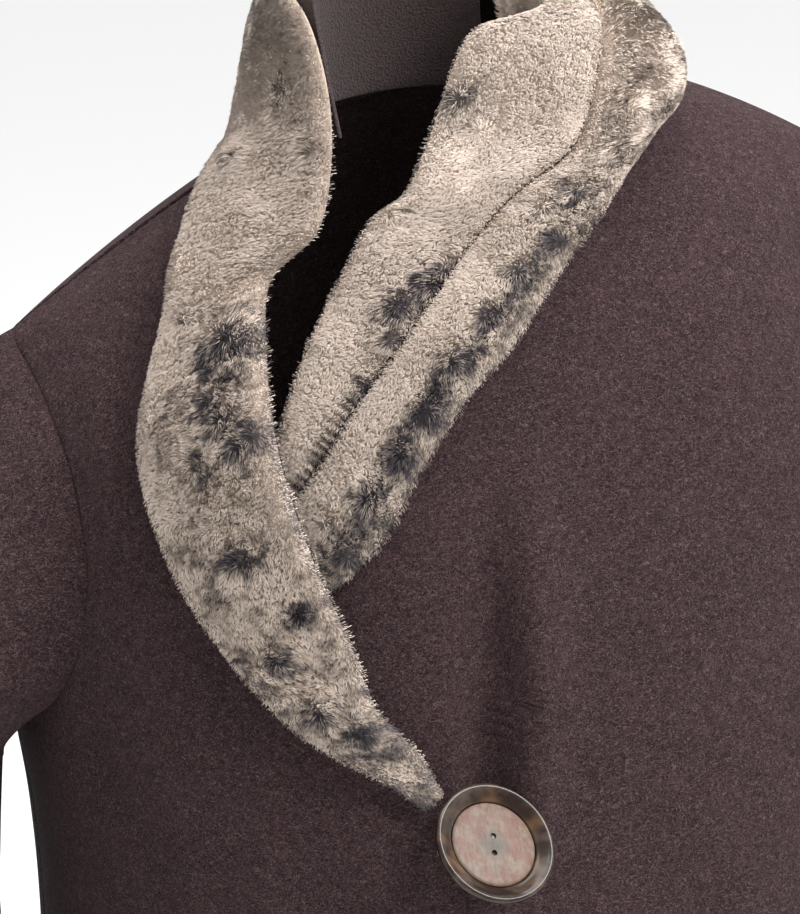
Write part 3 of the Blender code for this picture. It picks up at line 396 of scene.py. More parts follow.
# ---- the coat's body surface ----
def side_fall(x, level):
    """How much lower a section is at x than at the middle."""
    share = np.abs(x) / BODY_AT["half_width"](level)
    drop = BODY_AT["side_drop"](level)
    fall = np.where(x < 0, RIGHT_DROP * share ** RIGHT_SLOPE, LEFT_DROP * share ** LEFT_SLOPE)
    return drop * fall - TILT * x * ease(level, TILT_END, 0.0)


def crease_height(angle, level):
    """Rise or fall of the listed soft creases."""
    height = 0.0
    for start_angle, start_level, end_angle, end_level, width, size in CREASES:
        run = math.radians(end_angle - start_angle) * CREASE_ARC
        down = end_level - start_level
        length = math.hypot(run, down)
        aside = (angle - math.radians(start_angle) + math.pi) % (2 * math.pi) - math.pi
        aside = aside * CREASE_ARC
        along = (aside * run + (level - start_level) * down) / length ** 2
        across = (aside * down - (level - start_level) * run) / length
        height = height + size * window(along, -0.25, 0.30, 0.65, 1.20) * bell(across / width)
    return height


def fold_depth(angle, level, x):
    """Outward ripple of the hanging folds, the pull fold on the front and the soft creases."""
    depth = crease_height(angle, level)
    for fold_angle, spread, size, start in HANG_FOLDS:
        near = bell(degrees_apart(angle, fold_angle) / spread)
        depth = depth + size * near * ease(level, start, FOLDS_FULL)
    (x0, level0), (x1, level1), width, size = PULL_FOLD
    along = (level - level0) / (level1 - level0)
    apart = (x - (x0 + (x1 - x0) * along)) / width
    strength = window(along, -0.35, 0.35, 0.70, 1.15) * ease(x, *PULL_FOLD_FROM)
    pull = size * strength * apart * np.exp(0.5 - 0.5 * apart * apart)
    return depth + np.where(np.cos(angle) > 0, pull, 0.0)


def body_point(angle, level, lift=None):
    """Points of the outer face. angle is 0 at the front and positive to the wearer's left."""
    angle, level = np.broadcast_arrays(np.asarray(angle, float), np.asarray(level, float))
    half_width = BODY_AT["half_width"](level)
    sine, cosine = np.sin(angle), np.cos(angle)
    depth = np.where(cosine > 0, BODY_AT["front"](level), BODY_AT["back"](level))
    x = half_width * np.sign(sine) * np.abs(sine) ** SIDE_ROUNDNESS
    y = -depth * np.sign(cosine) * np.abs(cosine) ** SIDE_ROUNDNESS + BODY_AT["mid_y"](level)
    out = unit(np.stack((sine / half_width, -cosine / np.maximum(depth, 0.02), 0 * level), axis=-1))
    point = np.stack((x, y, level - side_fall(x, level)), axis=-1)
    point = point + out * (fold_depth(angle, level, x) + wave_height(point))[..., None]
    if lift is None:
        return point
    return point + body_normal(angle, level) * np.asarray(lift)[..., None]


def body_normal(angle, level):
    turn = np.minimum(0.004, 0.9 * np.abs(math.pi / 2 - np.abs(angle)) + 1e-4)
    low, high = np.maximum(level - 0.0015, HEM_LEVEL), np.minimum(level + 0.0015, 0.0)
    across = body_point(angle + turn, level) - body_point(angle - turn, level)
    up = body_point(angle, high) - body_point(angle, low)
    return unit(np.cross(across, up))


def level_at(x, z):
    """Level of the section that passes through height z at x."""
    level = z
    for _ in range(40):
        level = np.minimum(z + side_fall(x, np.minimum(level, 0.0)), 0.0)
    return level


def angle_at(x, level):
    share = np.minimum(np.abs(x) / BODY_AT["half_width"](level), 1.0)
    return np.sign(x) * np.arcsin(share ** (1 / SIDE_ROUNDNESS))


def over_lift(x, level):
    """Height of the over front above the under front."""
    lap = LAP_LIFT * ease(x, LAP_START, LAP_FULL) * (1 - ease(level, *LAP_TOP))
    reach = ((x - CROSSING[0]) / CROSSING_REACH[0]) ** 2 + ((level - CROSSING[1]) / CROSSING_REACH[1]) ** 2
    return lap + CROSSING_LIFT * (1 - ease(reach, 0.10, 1.0))


def on_front(x, z, lift):
    level = level_at(x, z)
    return body_point(angle_at(x, level), level, lift)


# ---- cloth meshes ----
def grid_mesh(points, closed=False, cloth=None):
    """Grid whose vertices are laid on rows of points. Where it is closed, points that meet are welded."""
    rows, columns = points.shape[:2]
    cloth = cloth or bmesh.new()
    made = bmesh.ops.create_grid(cloth, x_segments=columns - 1, y_segments=rows - 1, size=0.5)
    for vert, point in zip(made["verts"], points.reshape(-1, 3)):
        vert.co = point
    if closed:
        bmesh.ops.remove_doubles(cloth, verts=cloth.verts, dist=WELD)
    return cloth


def face_out(cloth, x=0.0, y=0.0):
    """Turns an open sheet's faces away from the upright line through x and y."""
    cloth.normal_update()
    score = 0.0
    for face in cloth.faces:
        middle = face.calc_center_median()
        score += face.normal.dot(middle - Vector((x, y, middle.z))) * face.calc_area()
    if score < 0:
        bmesh.ops.reverse_faces(cloth, faces=cloth.faces)


def fill_ends(shape):
    """Closes the open ends of a tube and returns the new faces."""
    rims = [edge for edge in shape.edges if edge.is_boundary]
    return bmesh.ops.holes_fill(shape, edges=rims, sides=0)["faces"]


def mesh_of(name, shape):
    """Mesh from a bmesh, which is freed."""
    mesh = bpy.data.meshes.new(name)
    shape.to_mesh(mesh)
    shape.free()
    return mesh


def linked(name, data):
    """New object in the scene."""
    thing = bpy.data.objects.new(name, data)
    bpy.context.scene.collection.objects.link(thing)
    return thing


def placed(name, mesh, material, node=None):
    """Object with its finish, riding on the coat, in place of its solid if it has one."""
    mesh.materials.append(material)
    piece = linked(name, mesh)
    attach(piece, "root")
    if node:
        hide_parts(node)
    return piece


def finished(name, shape, material, node):
    """Smooth piece from a bmesh."""
    mesh = mesh_of(name, shape)
    mesh.shade_smooth()
    return placed(name, mesh, material, node)


def cloth_piece(name, shape, material, node, thickness, round_edge=0.0009):
    """Sheet of cloth from an open bmesh, with its thickness inwards and a cut edge rounded by wear."""
    piece = finished(name, shape, material, node)
    wall = piece.modifiers.new("wall", "SOLIDIFY")
    wall.thickness = thickness
    wall.offset = -1.0
    wall.use_even_offset = False
    edge = piece.modifiers.new("edge", "BEVEL")
    edge.width = round_edge
    edge.segments = 2
    edge.limit_method = "ANGLE"
    edge.angle_limit = math.radians(62)
    edge.use_clamp_overlap = True


def panel_levels(step):
    """Levels of a panel's rows, a step apart along its middle."""
    rows = [PANEL_LEVELS[0]]
    for upper, lower in zip(PANEL_LEVELS[:-1], PANEL_LEVELS[1:]):
        run = math.hypot(upper - lower, BODY_AT["front"](lower) - BODY_AT["front"](upper))
        rows += list(np.linspace(upper, lower, max(1, round(run / step)) + 1)[1:])
    return np.array(rows)


def side_limit(level, side, back):
    """Angle where a panel ends at this level: side seam or armhole."""
    limit = np.radians(np.where(level >= ARMPIT_LEVEL, ARMHOLE_AT[back](level), SIDE_SEAM))
    return side * (math.pi - limit if back else limit)


def front_points(side, columns, step):
    """Rows of points of a front, from its edge to its side seam or armhole."""
    level = panel_levels(step)[:, None]
    start = angle_at(EDGE_AT[side](level), level)
    share = np.linspace(0, 1, columns + 1)[None, :]
    angle = start + (side_limit(level, side, False) - start) * share
    level = level + 0 * angle
    lift = over_lift(body_point(angle, level)[..., 0], level) if side < 0 else None
    points = body_point(angle, level, lift)
    points[0, :, 1] -= SEAM_HALF
    inward = body_normal(angle[:, -1], level[:, -1]) * SEAM_DIP
    points[:, -1] -= inward
    return points


def back_points(side, columns, step):
    """Rows of points of one half of the back, from its middle or neck to its side."""
    level = panel_levels(step)[:, None]
    neck = np.where(level <= BACK_NECK[0][0], 0.0, NECK_AT(level))
    start = math.pi - angle_at(neck, level)
    share = np.linspace(0, 1, columns + 1)[None, :]
    angle = side * (start + (side_limit(level, 1, True) - start) * share)
    points = body_point(angle, level + 0 * angle)
    points[0, :, 1] += SEAM_HALF
    points[:, -1] -= body_normal(angle[:, -1], level[:, 0]) * SEAM_DIP
    return points


def back_shape(step):
    """The back's two halves in one sheet, parted at the neckline."""
    halves = [back_points(side, BACK_COLUMNS, step) for side in (-1, 1)]
    back = grid_mesh(np.concatenate((halves[0][:, ::-1], halves[1]), axis=1))
    neck_rows = int((panel_levels(step) > BACK_NECK[0][0] + 1e-6).sum())
    back.verts.ensure_lookup_table()
    columns = halves[0].shape[1]
    bridging = [face for face in back.faces
                if {vert.index % (2 * columns) for vert in face.verts} == {columns - 1, columns}
                and min(vert.index // (2 * columns) for vert in face.verts) < neck_rows]
    bmesh.ops.delete(back, geom=bridging, context="FACES")
    bmesh.ops.remove_doubles(back, verts=back.verts, dist=WELD)
    return back


# ---- collar ----
class Band:
    """A strip of the collar: its bed on the coat and the level of the fur's tips, as fine grids."""

    def __init__(self, rows, side, first, guide, share=1.0):
        over = side < 0
        inner = first == "inner"
        lines = {name: self.line(rows, name, over) for name in ("outer", "groove", "inner")}
        for name in lines:
            lines[name][-1, 0] = side * CENTRE_SEAM_HALF
        lengths = [np.linalg.norm(np.diff(lines[name], axis=0), axis=1)
                   for name in ("outer", "groove")]
        self.places = np.concatenate(([0.0], np.cumsum(0.5 * (lengths[0] + lengths[1]))))
        rise = np.array([row[4 if inner else 3] for row in rows]) / 1000
        at = np.linspace(0, self.places[-1] * share, BAND_STEPS + 1)
        near, far = self.curve(lines[first], at), self.curve(lines["groove"], at)
        ahead, behind = np.minimum(at + CHORD, self.places[-1]), np.maximum(at - CHORD, 0.0)
        along = sum(self.curve(lines[name], ahead) - self.curve(lines[name], behind)
                    for name in (first, "groove"))
        out = unit(np.cross(far - near, along)) * (side if inner else -side)
        for _ in range(OUT_SMOOTHING):
            before, after = np.concatenate((out[:1], out[:-1])), np.concatenate((out[1:], out[-1:]))
            out = unit(before + 2 * out + after)
        self.at, self.out = at, out
        self.station = np.interp(at, self.places, np.arange(len(self.places)))
        self.depth = (TIP_PILE + (1 - TIP_PILE) * ease(self.station, 0.0, FULL_PILE_AT)) * PILE
        self.depth = self.depth * (INNER_PILE if inner else 1.0)
        across = unit(far - near)
        near, far = near + across * FUR_GAP, far - across * FUR_GAP
        self.share = np.linspace(0, 1, BAND_COLUMNS + 1)
        arch = np.maximum(self.curve(rise[:, None], at), 0.0)[:, None, :]
        arch = arch * np.sin(math.pi * self.share)[None, :, None]
        bed = near[:, None, :] + (far - near)[:, None, :] * self.share[None, :, None]
        bed = bed + out[:, None, :] * arch
        self.guide = guide
        self.bed = self.kept_clear(self.eased(self.kept_clear(bed, COLLAR_LIFT)), COLLAR_LIFT)

    @staticmethod
    def line(rows, name, over):
        """Station points of a line, in metres, laid on the front where they have no y."""
        column = COLLAR_COLUMNS.index(name)
        points = []
        for x, y, z in (row[column] for row in rows):
            if y is None:
                x, z = np.array([x / 1000]), np.array([z / 1000])
                lift = COLLAR_LIFT + (over_lift(x, level_at(x, z)) if over else 0 * x)
                points.append(on_front(x, z, lift)[0])
            else:
                points.append(np.array([x, y, z]) / 1000)
        return np.array(points)

    def curve(self, values, at):
        """Smooth curve through values at the stations, with chord tangents."""
        places = self.places
        i = np.clip(np.searchsorted(places, at, side="right") - 1, 0, len(places) - 2)
        ends = np.arange(len(places))
        before, after = np.maximum(ends - 1, 0), np.minimum(ends + 1, len(places) - 1)
        tangents = (values[after] - values[before]) / (places[after] - places[before])[:, None]
        step = (places[i + 1] - places[i])[:, None]
        t = (at - places[i])[:, None] / step
        return hermite(values[i], values[i + 1], step * tangents[i], step * tangents[i + 1], t)

    def kept_clear(self, grid, lift):
        """The points, moved off the cloth under them to at least the given lift."""
        moved = grid.copy()
        for place in np.ndindex(grid.shape[:2]):
            point = moved[place]
            for _ in range(2):
                near = self.guide.find_nearest(Vector(point))
                base, normal = np.array(near[0]), np.array(near[1])
                if normal @ np.array([base[0], base[1], 0.05]) < 0:
                    normal = -normal
                offset = point - base
                rise = float(offset @ normal)
                aside = np.linalg.norm(offset - normal * rise)
                if 0 <= rise and near[3] < lift - 1e-6:
                    point = base + unit(offset + normal * 1e-6) * lift
                elif -CLEAR_REACH < rise < 0 and aside < 0.002:
                    point = base + normal * lift
            moved[place] = point
        return moved

    @staticmethod
    def eased(grid):
        """A grid with small kinks smoothed out; its borders along the band keep their place."""
        for _ in range(6):
            grid[1:-1] = 0.25 * grid[:-2] + 0.5 * grid[1:-1] + 0.25 * grid[2:]
            grid[:, 1:-1] = 0.25 * grid[:, :-2] + 0.5 * grid[:, 1:-1] + 0.25 * grid[:, 2:]
        return grid

    def surface(self, height, section=PILE_AT):
        """The level at a share of the fur's depth above the bed."""
        rise = section(self.share)[None, :] * self.depth[:, None] * height
        return self.bed + self.out[:, None, :] * rise[..., None]

    def sizes(self):
        """Metres along at each column and across at each row, to turn shares into lengths."""
        along = np.linalg.norm(np.diff(self.bed, axis=0), axis=2)
        across = np.linalg.norm(np.diff(self.bed, axis=1), axis=2)
        return along, across


def patchy(along, across, cell, seed):
    """Smooth noise from -1 to 1 on a band, with patches about a cell wide."""
    size = 128
    table = np.random.default_rng(seed).uniform(-1, 1, (size, size))
    x, y = along / cell, across / cell
    i, k = np.floor(x).astype(int), np.floor(y).astype(int)
    u, v = ease(x - i, 0, 1), ease(y - k, 0, 1)
    i, k = i % size, k % size
    j, m = (i + 1) % size, (k + 1) % size
    return ((table[i, k] * (1 - u) + table[j, k] * u) * (1 - v)
            + (table[i, m] * (1 - u) + table[j, m] * u) * v)


def nearest_lock(along, across, cell, seed):
    """Offset from each place to the centre of its nearest lock, and a number from 0 to 1 of its own."""
    size = 256
    rng = np.random.default_rng(seed)
    shift_x, shift_y = rng.uniform(0.1, 0.9, (2, size, size))
    own = rng.uniform(0, 1, (size, size))
    x, y = along / cell, across / cell
    i, k = np.floor(x).astype(int), np.floor(y).astype(int)
    best = np.full(x.shape, 1e9)
    ahead, aside, number = np.zeros(x.shape), np.zeros(x.shape), np.zeros(x.shape)
    for di in (-1, 0, 1):
        for dk in (-1, 0, 1):
            a, b = (i + di) % size, (k + dk) % size
            dx, dy = i + di + shift_x[a, b] - x, k + dk + shift_y[a, b] - y
            apart = dx * dx + dy * dy
            closer = apart < best
            best = np.where(closer, apart, best)
            ahead, aside = np.where(closer, dx, ahead), np.where(closer, dy, aside)
            number = np.where(closer, own[a, b], number)
    return ahead * cell, aside * cell, number


def on_band(grid, k, s):
    """Values of a band's grid at fractional rows and columns."""
    k, s = np.clip(k, 0, BAND_STEPS - 1e-6), np.clip(s, 0, BAND_COLUMNS - 1e-6)
    i, m = k.astype(int), s.astype(int)
    u, v = (k - i)[:, None], (s - m)[:, None]
    return ((grid[i, m] * (1 - u) + grid[i + 1, m] * u) * (1 - v)
            + (grid[i, m + 1] * (1 - u) + grid[i + 1, m + 1] * u) * v)


class Growth:
    """Where the hairs of one stretch of a band stand, lean and end, and how dark they are."""

    def __init__(self, band, first, last, density, seed):
        self.band, self.seed = band, seed
        self.rng = rng = np.random.default_rng(seed)
        low, high = int(first * BAND_STEPS), int(last * BAND_STEPS)
        along, across = band.sizes()
        area = float((along[low:high].mean(axis=1) * across[low:high].sum(axis=1)).sum())
        self.count = count = min(int(area * 1e6 * density), MOST_HAIRS)
        areas = (0.25 * (along[low:high, :-1] + along[low:high, 1:])
                 * (across[low:high] + across[low + 1:high + 1]))
        total = np.cumsum(areas.ravel())
        places = (np.arange(count) + rng.uniform(0, 1, count)) / count * total[-1]
        cells = np.minimum(np.searchsorted(total, places), areas.size - 1)
        row, column = np.divmod(cells, BAND_COLUMNS)
        self.k = low + row + rng.uniform(0, 1, count)
        self.s = column + rng.uniform(0, 1, count)
        steps = np.arange(BAND_STEPS + 1)
        self.run = np.interp(self.k, steps, band.at)
        self.stretch = np.interp(self.k, steps[:-1] + 0.5, along.mean(axis=1))
        self.wide = np.interp(self.k, steps, across.sum(axis=1))
        self.side = self.s / BAND_COLUMNS * self.wide
        self.depth = np.interp(self.k, steps, band.depth) / PILE

    def patches(self, cell, number):
        return patchy(self.run, self.side, cell, self.seed + number)

    def mixed(self, noises, base=0.0):
        """A base with noises on top of it."""
        for strength, cell, number in noises:
            base = base + strength * self.patches(cell, number)
        return base

    def lean(self, tufts):
        """How far the tips lean along and across, in metres, and their changes of tone and height."""
        nap = self.mixed((NAP_CHANGE,), NAP)
        turn = self.mixed(NAP_TURNS) + self.rng.normal(0, TURN_SPREAD, self.count)
        ahead, aside = -nap * np.cos(turn), nap * np.sin(turn)
        tone, lift = 0.0, 0.0
        for cell, pull, shade, number in LOCKS:
            to_ahead, to_aside, own = nearest_lock(self.run, self.side, cell, self.seed + number)
            ahead, aside = ahead + pull * to_ahead, aside + pull * to_aside
            tone, lift = tone + shade * (own - 0.5), lift + PARTING * (own - 0.5)
        seam = 1 - ease((BAND_STEPS - self.k) * self.stretch, 0.0, SEAM_REACH)
        ahead = ahead * (1 - seam) + seam * self.rng.uniform(0.0, SEAM_COVER, self.count)
        ragged = self.mixed(TUFT_EDGE, 1.0)
        for place, share, reach, dark in tufts:
            from_ahead = (self.k - place * BAND_STEPS) * self.stretch
            from_aside = (self.s / BAND_COLUMNS - share) * self.wide
            apart = np.hypot(from_ahead, from_aside)
            near = bell(apart * ragged / (TUFT_SPREAD * reach))
            tone = tone + dark * near * self.rng.uniform(*TUFT_MIX, self.count)
            splay = TUFT_SPLAY * near * min(reach, SPLAY_REACH) / np.maximum(apart, 1e-5)
            ahead, aside = ahead + splay * from_ahead, aside + splay * from_aside
        return ahead, aside, tone, lift

    def rungs(self, start, end):
        """Short dark strokes that cross the groove near its lower end: the partings of the pile there,
        with their darker roots and painted shade down in them.
        """
        along = self.k / BAND_STEPS
        beat = self.mixed(RUNG_WAVER, (along - start) / (end - start) * RUNG_NUMBER)
        stroke = bell((beat - np.round(beat)) / RUNG_WIDTH)
        inside = window(along, start - RUNG_FADE, start, end, end + RUNG_FADE)
        return RUNG_DARKNESS * stroke * inside * bell((self.wide - self.side - RUNG_MIDDLE) / RUNG_REACH)

    def tones(self, tone_at, dark, name):
        """Each hair's tone: its band's own, tufts and strokes, patches and flecks."""
        flecks = ease(self.patches(FLECK, 13), 0.42, 0.75) * (0.55 + 0.45 * self.patches(0.014, 14))
        tone = tone_at(self.k / BAND_STEPS, self.s / BAND_COLUMNS) + dark
        tone = self.mixed(TONE_PATCHES, tone) + FLECK_DARKNESS * flecks
        # dark strokes at the groove: darker roots of the partings, with painted shade in them
        if name in RUNGS:
            tone = tone + self.rungs(*RUNGS[name])
        return np.clip(tone + self.rng.normal(0, TONE_SPREAD, self.count), 0.02, 0.98)


def outward(grid, axis, end):
    """Directions in which a grid leaves its first (0) or last (-1) line on an axis."""
    line, inner = (np.take(grid, place, axis=axis) for place in ((0, 1) if end == 0 else (-1, -2)))
    return unit(line - inner)


def hair_mesh(growth, width, tone_at, tufts, name):
    """Hairs as bent blades of two triangles, with their tone and length in a UV map.

    Each stands in the undercoat, and its upper half lies over. The map's u is the hair's tone
    and v runs from its root to its tip. Its normals follow the fur's surface, as soft plush shades.
    """
    band, count, rng = growth.band, growth.count, growth.rng
    k, s, wide = growth.k, growth.s, growth.wide
    ahead, aside, dark, lift = growth.lean(tufts)
    tone = growth.tones(tone_at, dark, name)

    root = on_band(band.surface(ROOTS), k, s)
    tip_k, tip_s = k + ahead / growth.stretch, s + aside / wide * BAND_COLUMNS
    tip = on_band(band.surface(1.0, HAIR_AT), tip_k, tip_s)
    for end, past in ((0, -tip_k), (-1, tip_k - BAND_STEPS)):
        beyond = (np.maximum(past, 0.0) * growth.stretch)[:, None]
        tip = tip + outward(band.bed, 0, end).mean(axis=0) * beyond
    up = unit(on_band(band.out[:, None, :].repeat(BAND_COLUMNS + 1, axis=1), k, s))
    height = growth.mixed((LUMPS,)) + lift + rng.normal(0, HEIGHT_SPREAD, count)
    hair = tip + up * (height * growth.depth)[:, None] - root
    rows = np.clip(k, 0, BAND_STEPS).astype(int)
    for edge, apart, most in zip((0, -1), (growth.side, wide - growth.side), EDGE_BEND[name]):
        bend = (most * (1 - ease(apart, 0.0, EDGE_REACH)) * rng.uniform(0.0, 1.0, count))[:, None]
        way = outward(band.bed, 1, edge)[rows]
        hair = hair * np.cos(bend) + way * np.linalg.norm(hair, axis=1, keepdims=True) * np.sin(bend)
        up = unit(up * np.cos(bend) + way * np.sin(bend))
        hair = hair * (1 - EDGE_SHORTENING * bend)
    tip = root + hair
    rise = up * np.einsum("ij,ij->i", hair, up)[:, None]
    middle = root + MIDDLE_RISE * rise + MIDDLE_REACH * (hair - rise)
    beside = unit(np.cross(tip - middle, up + rng.normal(0, FACE_SPREAD, (count, 3))))
    half = (width * rng.uniform(*HAIR_WIDTHS, count) / 2)[:, None]
    points = np.stack((root, middle - beside * half, middle + beside * half, tip), axis=1)
    points = points.astype(np.float32)
    faces = np.cross(points[:, 2] - points[:, 1], points[:, 3] - points[:, 1])
    inside_out = np.einsum("ij,ij->i", faces, up) < 0
    points[inside_out, 1:3] = points[inside_out, 2:0:-1]
    uvs = np.empty((count, 4, 2), dtype=np.float32)
    uvs[:, :, 0] = tone[:, None] + np.array([0.0, -0.004, 0.004, 0.0])
    uvs[:, :, 1] = (0.03, 0.50, 0.50, 0.97)
    normals = unit(up + NORMAL_LEAN * unit(hair) + rng.normal(0, NORMAL_SPREAD, (count, 3)))
    mesh = blades(points, uvs)
    mesh.normals_split_custom_set_from_vertices(normals.repeat(4, axis=0))
    return mesh


def blades(points, uvs):
    """One mesh from an array of blades, each the same two triangles."""
    count, corners = len(points), np.array([0, 2, 1, 1, 2, 3])
    mesh = bpy.data.meshes.new("hairs")
    mesh.vertices.add(4 * count)
    mesh.vertices.foreach_set("co", points.ravel())
    mesh.loops.add(6 * count)
    indices = np.arange(count)[:, None] * 4 + corners
    mesh.loops.foreach_set("vertex_index", indices.astype(np.int32).ravel())
    mesh.polygons.add(2 * count)
    mesh.polygons.foreach_set("loop_start", np.arange(0, 6 * count, 3, dtype=np.int32))
    mesh.uv_layers.new(name="OFBake").data.foreach_set("uv", uvs[:, corners].ravel())
    mesh.update()
    mesh.shade_smooth()
    return mesh


# ---- finishes ----
class Number:
    """A socket of a finish. Python's operators on it add Math nodes."""

    def __init__(self, finish, socket):
        self.finish, self.socket = finish, socket

    def maths(self, operation, first, second):
        return self.finish.node("ShaderNodeMath", {"operation": operation}, {0: first, 1: second})

    def __add__(self, other):
        return self.maths("ADD", self, other)

    def __sub__(self, other):
        return self.maths("SUBTRACT", self, other)

    def __rsub__(self, other):
        return self.maths("SUBTRACT", other, self)

    def __mul__(self, other):
        return self.maths("MULTIPLY", self, other)

    __radd__, __rmul__ = __add__, __mul__


class Nodes:
    """A node tree that is being filled."""

    def __init__(self, tree):
        self.tree = tree

    def node(self, kind, settings=None, inputs=None, output=0):
        """Adds a node, with its settings first and then its sockets, and returns an output or all."""
        made = self.tree.nodes.new(kind)
        for name, value in (settings or {}).items():
            if name == "stops":
                self.fill_ramp(made.color_ramp, value)
            else:
                setattr(made, name, value)
        for socket, value in (inputs or {}).items():
            if isinstance(value, Number):
                self.tree.links.new(value.socket, made.inputs[socket])
            else:
                made.inputs[socket].default_value = value
        if output is None:
            return [Number(self, socket) for socket in made.outputs]
        return Number(self, made.outputs[output])

    @staticmethod
    def fill_ramp(ramp, stops):
        while len(ramp.elements) < len(stops):
            ramp.elements.new(0.5)
        for element, (place, colour) in zip(ramp.elements, stops):
            element.position = place
            element.color = (*colour[:3], 1.0)

    def place(self):
        return self.node("ShaderNodeTexCoord", output="Object")

    def noise(self, place, scale, detail=2.0, roughness=0.5, distortion=0.0):
        return self.node("ShaderNodeTexNoise", {}, {"Vector": place, "Scale": scale, "Detail": detail,
                                                   "Roughness": roughness, "Distortion": distortion})

    def spots(self, place, scale, detail, roughness, low, high, distortion=0.0):
        """Noise that is 0 below low and 1 above high."""
        return self.band(self.noise(place, scale, detail, roughness, distortion), low, high)

    def curls(self, place, scale, thickness):
        """Thin curly lines, where a noise passes its middle value."""
        offset = self.noise(place, scale, 1.0, 0.5, 1.2) - 0.5
        apart = self.node("ShaderNodeMath", {"operation": "ABSOLUTE"}, {0: offset})
        return 1 - self.band(apart, 0.0, thickness)

    def turned(self, place, turn, scale):
        return self.node("ShaderNodeMapping", {}, {"Vector": place, "Rotation": turn, "Scale": scale})

    def band(self, value, start, end):
        """0 before start, 1 after end, smooth between."""
        return self.node("ShaderNodeMapRange", {"interpolation_type": "SMOOTHSTEP"},
                         {"Value": value, "From Min": start, "From Max": end})

    def mix(self, share, first, second):
        first, second = (value if isinstance(value, Number) else (*value[:3], 1.0)
                         for value in (first, second))
        return self.node("ShaderNodeMix", {"data_type": "RGBA"},
                         {0: share, 6: first, 7: second}, 2)


class Finish(Nodes):
    """A material that is being made. Its plain values are given by socket name."""

    def __init__(self, name, plain):
        self.material = bpy.data.materials.new(name)
        self.material.use_nodes = True
        super().__init__(self.material.node_tree)
        self.shader = self.tree.nodes["Principled BSDF"]
        for socket, value in plain.items():
            self.shader.inputs[socket].default_value = value

    def feed(self, socket, value):
        self.tree.links.new(value.socket, self.shader.inputs[socket])

    def bump(self, height, distance, strength=1.0):
        self.feed("Normal", self.node("ShaderNodeBump", {}, {"Height": height, "Distance": distance,
                                                           "Strength": strength}))


FIBRE_TURNS = ((0.35, 0.5, 0.2), (1.25, -0.4, 0.9), (-0.6, 1.1, 0.4))
FIBRE_SCALE = (330.0, 620.0, 480.0)


def times(share, colour):
    return [share * part for part in colour]


def wool_finish(colours):
    """Felted melange wool: plum and grey fibres in a dark ground, with curly lighter ones on top."""
    known = bpy.data.materials.get("felted_wool")
    if known:
        return known
    finish = Finish("felted_wool", {"Roughness": 0.95, "Sheen Weight": 0.10, "Sheen Roughness": 0.45,
                                    "Specular IOR Level": 0.12})
    finish.shader.inputs["Sheen Tint"].default_value = (*colours.wool_fibre, 1.0)
    place = finish.place()
    clouds = finish.spots(place, 30.0, 3.0, 0.6, 0.30, 0.70)
    blots = finish.spots(place, 240.0, 3.0, 0.65, 0.36, 0.64, 0.6)
    grain = finish.spots(place, 900.0, 3.0, 0.75, 0.36, 0.66, 0.8)
    hue = finish.spots(place, 420.0, 2.0, 0.6, 0.38, 0.62)
    ground = finish.mix(clouds, times(0.84, colours.wool), times(1.14, colours.wool))
    tinted = finish.mix(hue * 0.55, ground, colours.wool_plum)
    light = finish.mix(blots * 0.80, finish.mix(0.50, tinted, (0.010, 0.006, 0.008)), tinted)
    colour = finish.mix(grain * 0.75, finish.mix(0.62, light, (0.008, 0.005, 0.007)), light)
    height = grain
    for number, turn in enumerate(FIBRE_TURNS):
        fibre = finish.curls(finish.turned(place, turn, FIBRE_SCALE), 1.0, 0.020 + 0.006 * number)
        tint = colours.wool_pink if number == 1 else colours.wool_fibre
        colour = finish.mix(fibre * 0.42, colour, tint)
        height = height + fibre * 0.6
    finish.feed("Base Color", colour)
    finish.bump(height, 0.0006, 0.6)
    return finish.material


def fur_stops(colours):
    """Colours of a hair's tip and of its root over its tone."""
    pale, tan, grey, slate = colours.fur_pale, colours.fur_tan, colours.fur_grey, colours.fur_slate
    palest = [min(part, 1.0) for part in times(1.06, pale)]
    between = [0.6 * a + 0.4 * b for a, b in zip(pale, tan)]
    tips = ((0.0, palest), (0.20, pale), (0.34, between), (0.46, tan), (0.62, grey), (0.80, slate),
            (1.0, times(0.55, slate)))
    roots = ((0.0, pale), (0.22, between), (0.36, tan), (0.50, grey), (0.68, slate),
             (1.0, times(0.45, slate)))
    return tips, roots


def hair_finish(name, colours):
    """Hairs: pale or tan tips over greyer roots. The colour is read from their own map alone."""
    finish = Finish(name, {"Roughness": 0.85, "Specular IOR Level": 0.20, "Sheen Weight": 0.08})
    where = finish.node("ShaderNodeUVMap", {"uv_map": "OFBake"})
    tone, length, _ = finish.node("ShaderNodeSeparateXYZ", {}, {0: where}, None)
    tips, roots = fur_stops(colours)
    tip = finish.node("ShaderNodeValToRGB", {"stops": tips}, {0: tone})
    root = finish.node("ShaderNodeValToRGB", {"stops": roots}, {0: tone})
    finish.feed("Base Color", finish.mix(finish.band(length - tone * 0.50, 0.06, 0.50), root, tip))
    face = finish.node("ShaderNodeNewGeometry", output=None)
    normal, behind = (next(out for out in face if out.socket.name == wanted)
                      for wanted in ("Normal", "Backfacing"))
    finish.feed("Normal", finish.node("ShaderNodeVectorMath", {"operation": "SCALE"},
                                      {0: normal, "Scale": 1 - behind * 2}))
    return finish.material


def horn_finish(colours):
    """Polished dark horn with cloudy amber light in it."""
    finish = Finish("dark_horn", {"Roughness": 0.18, "Coat Weight": 0.08, "Coat Roughness": 0.05,
                                  "Specular IOR Level": 0.30})
    place = finish.place()
    drawn_out = finish.turned(place, (0.4, 0.2, 0.7), (60.0, 150.0, 90.0))
    veins = finish.spots(drawn_out, 1.0, 3.0, 0.6, 0.42, 0.70)
    spots = finish.spots(place, 55.0, 2.0, 0.5, 0.52, 0.74)
    colour = finish.mix(veins * 0.75, colours.horn, colours.horn_light)
    finish.feed("Base Color", finish.mix(spots * 0.6, colour, colours.horn_amber))
    return finish.material


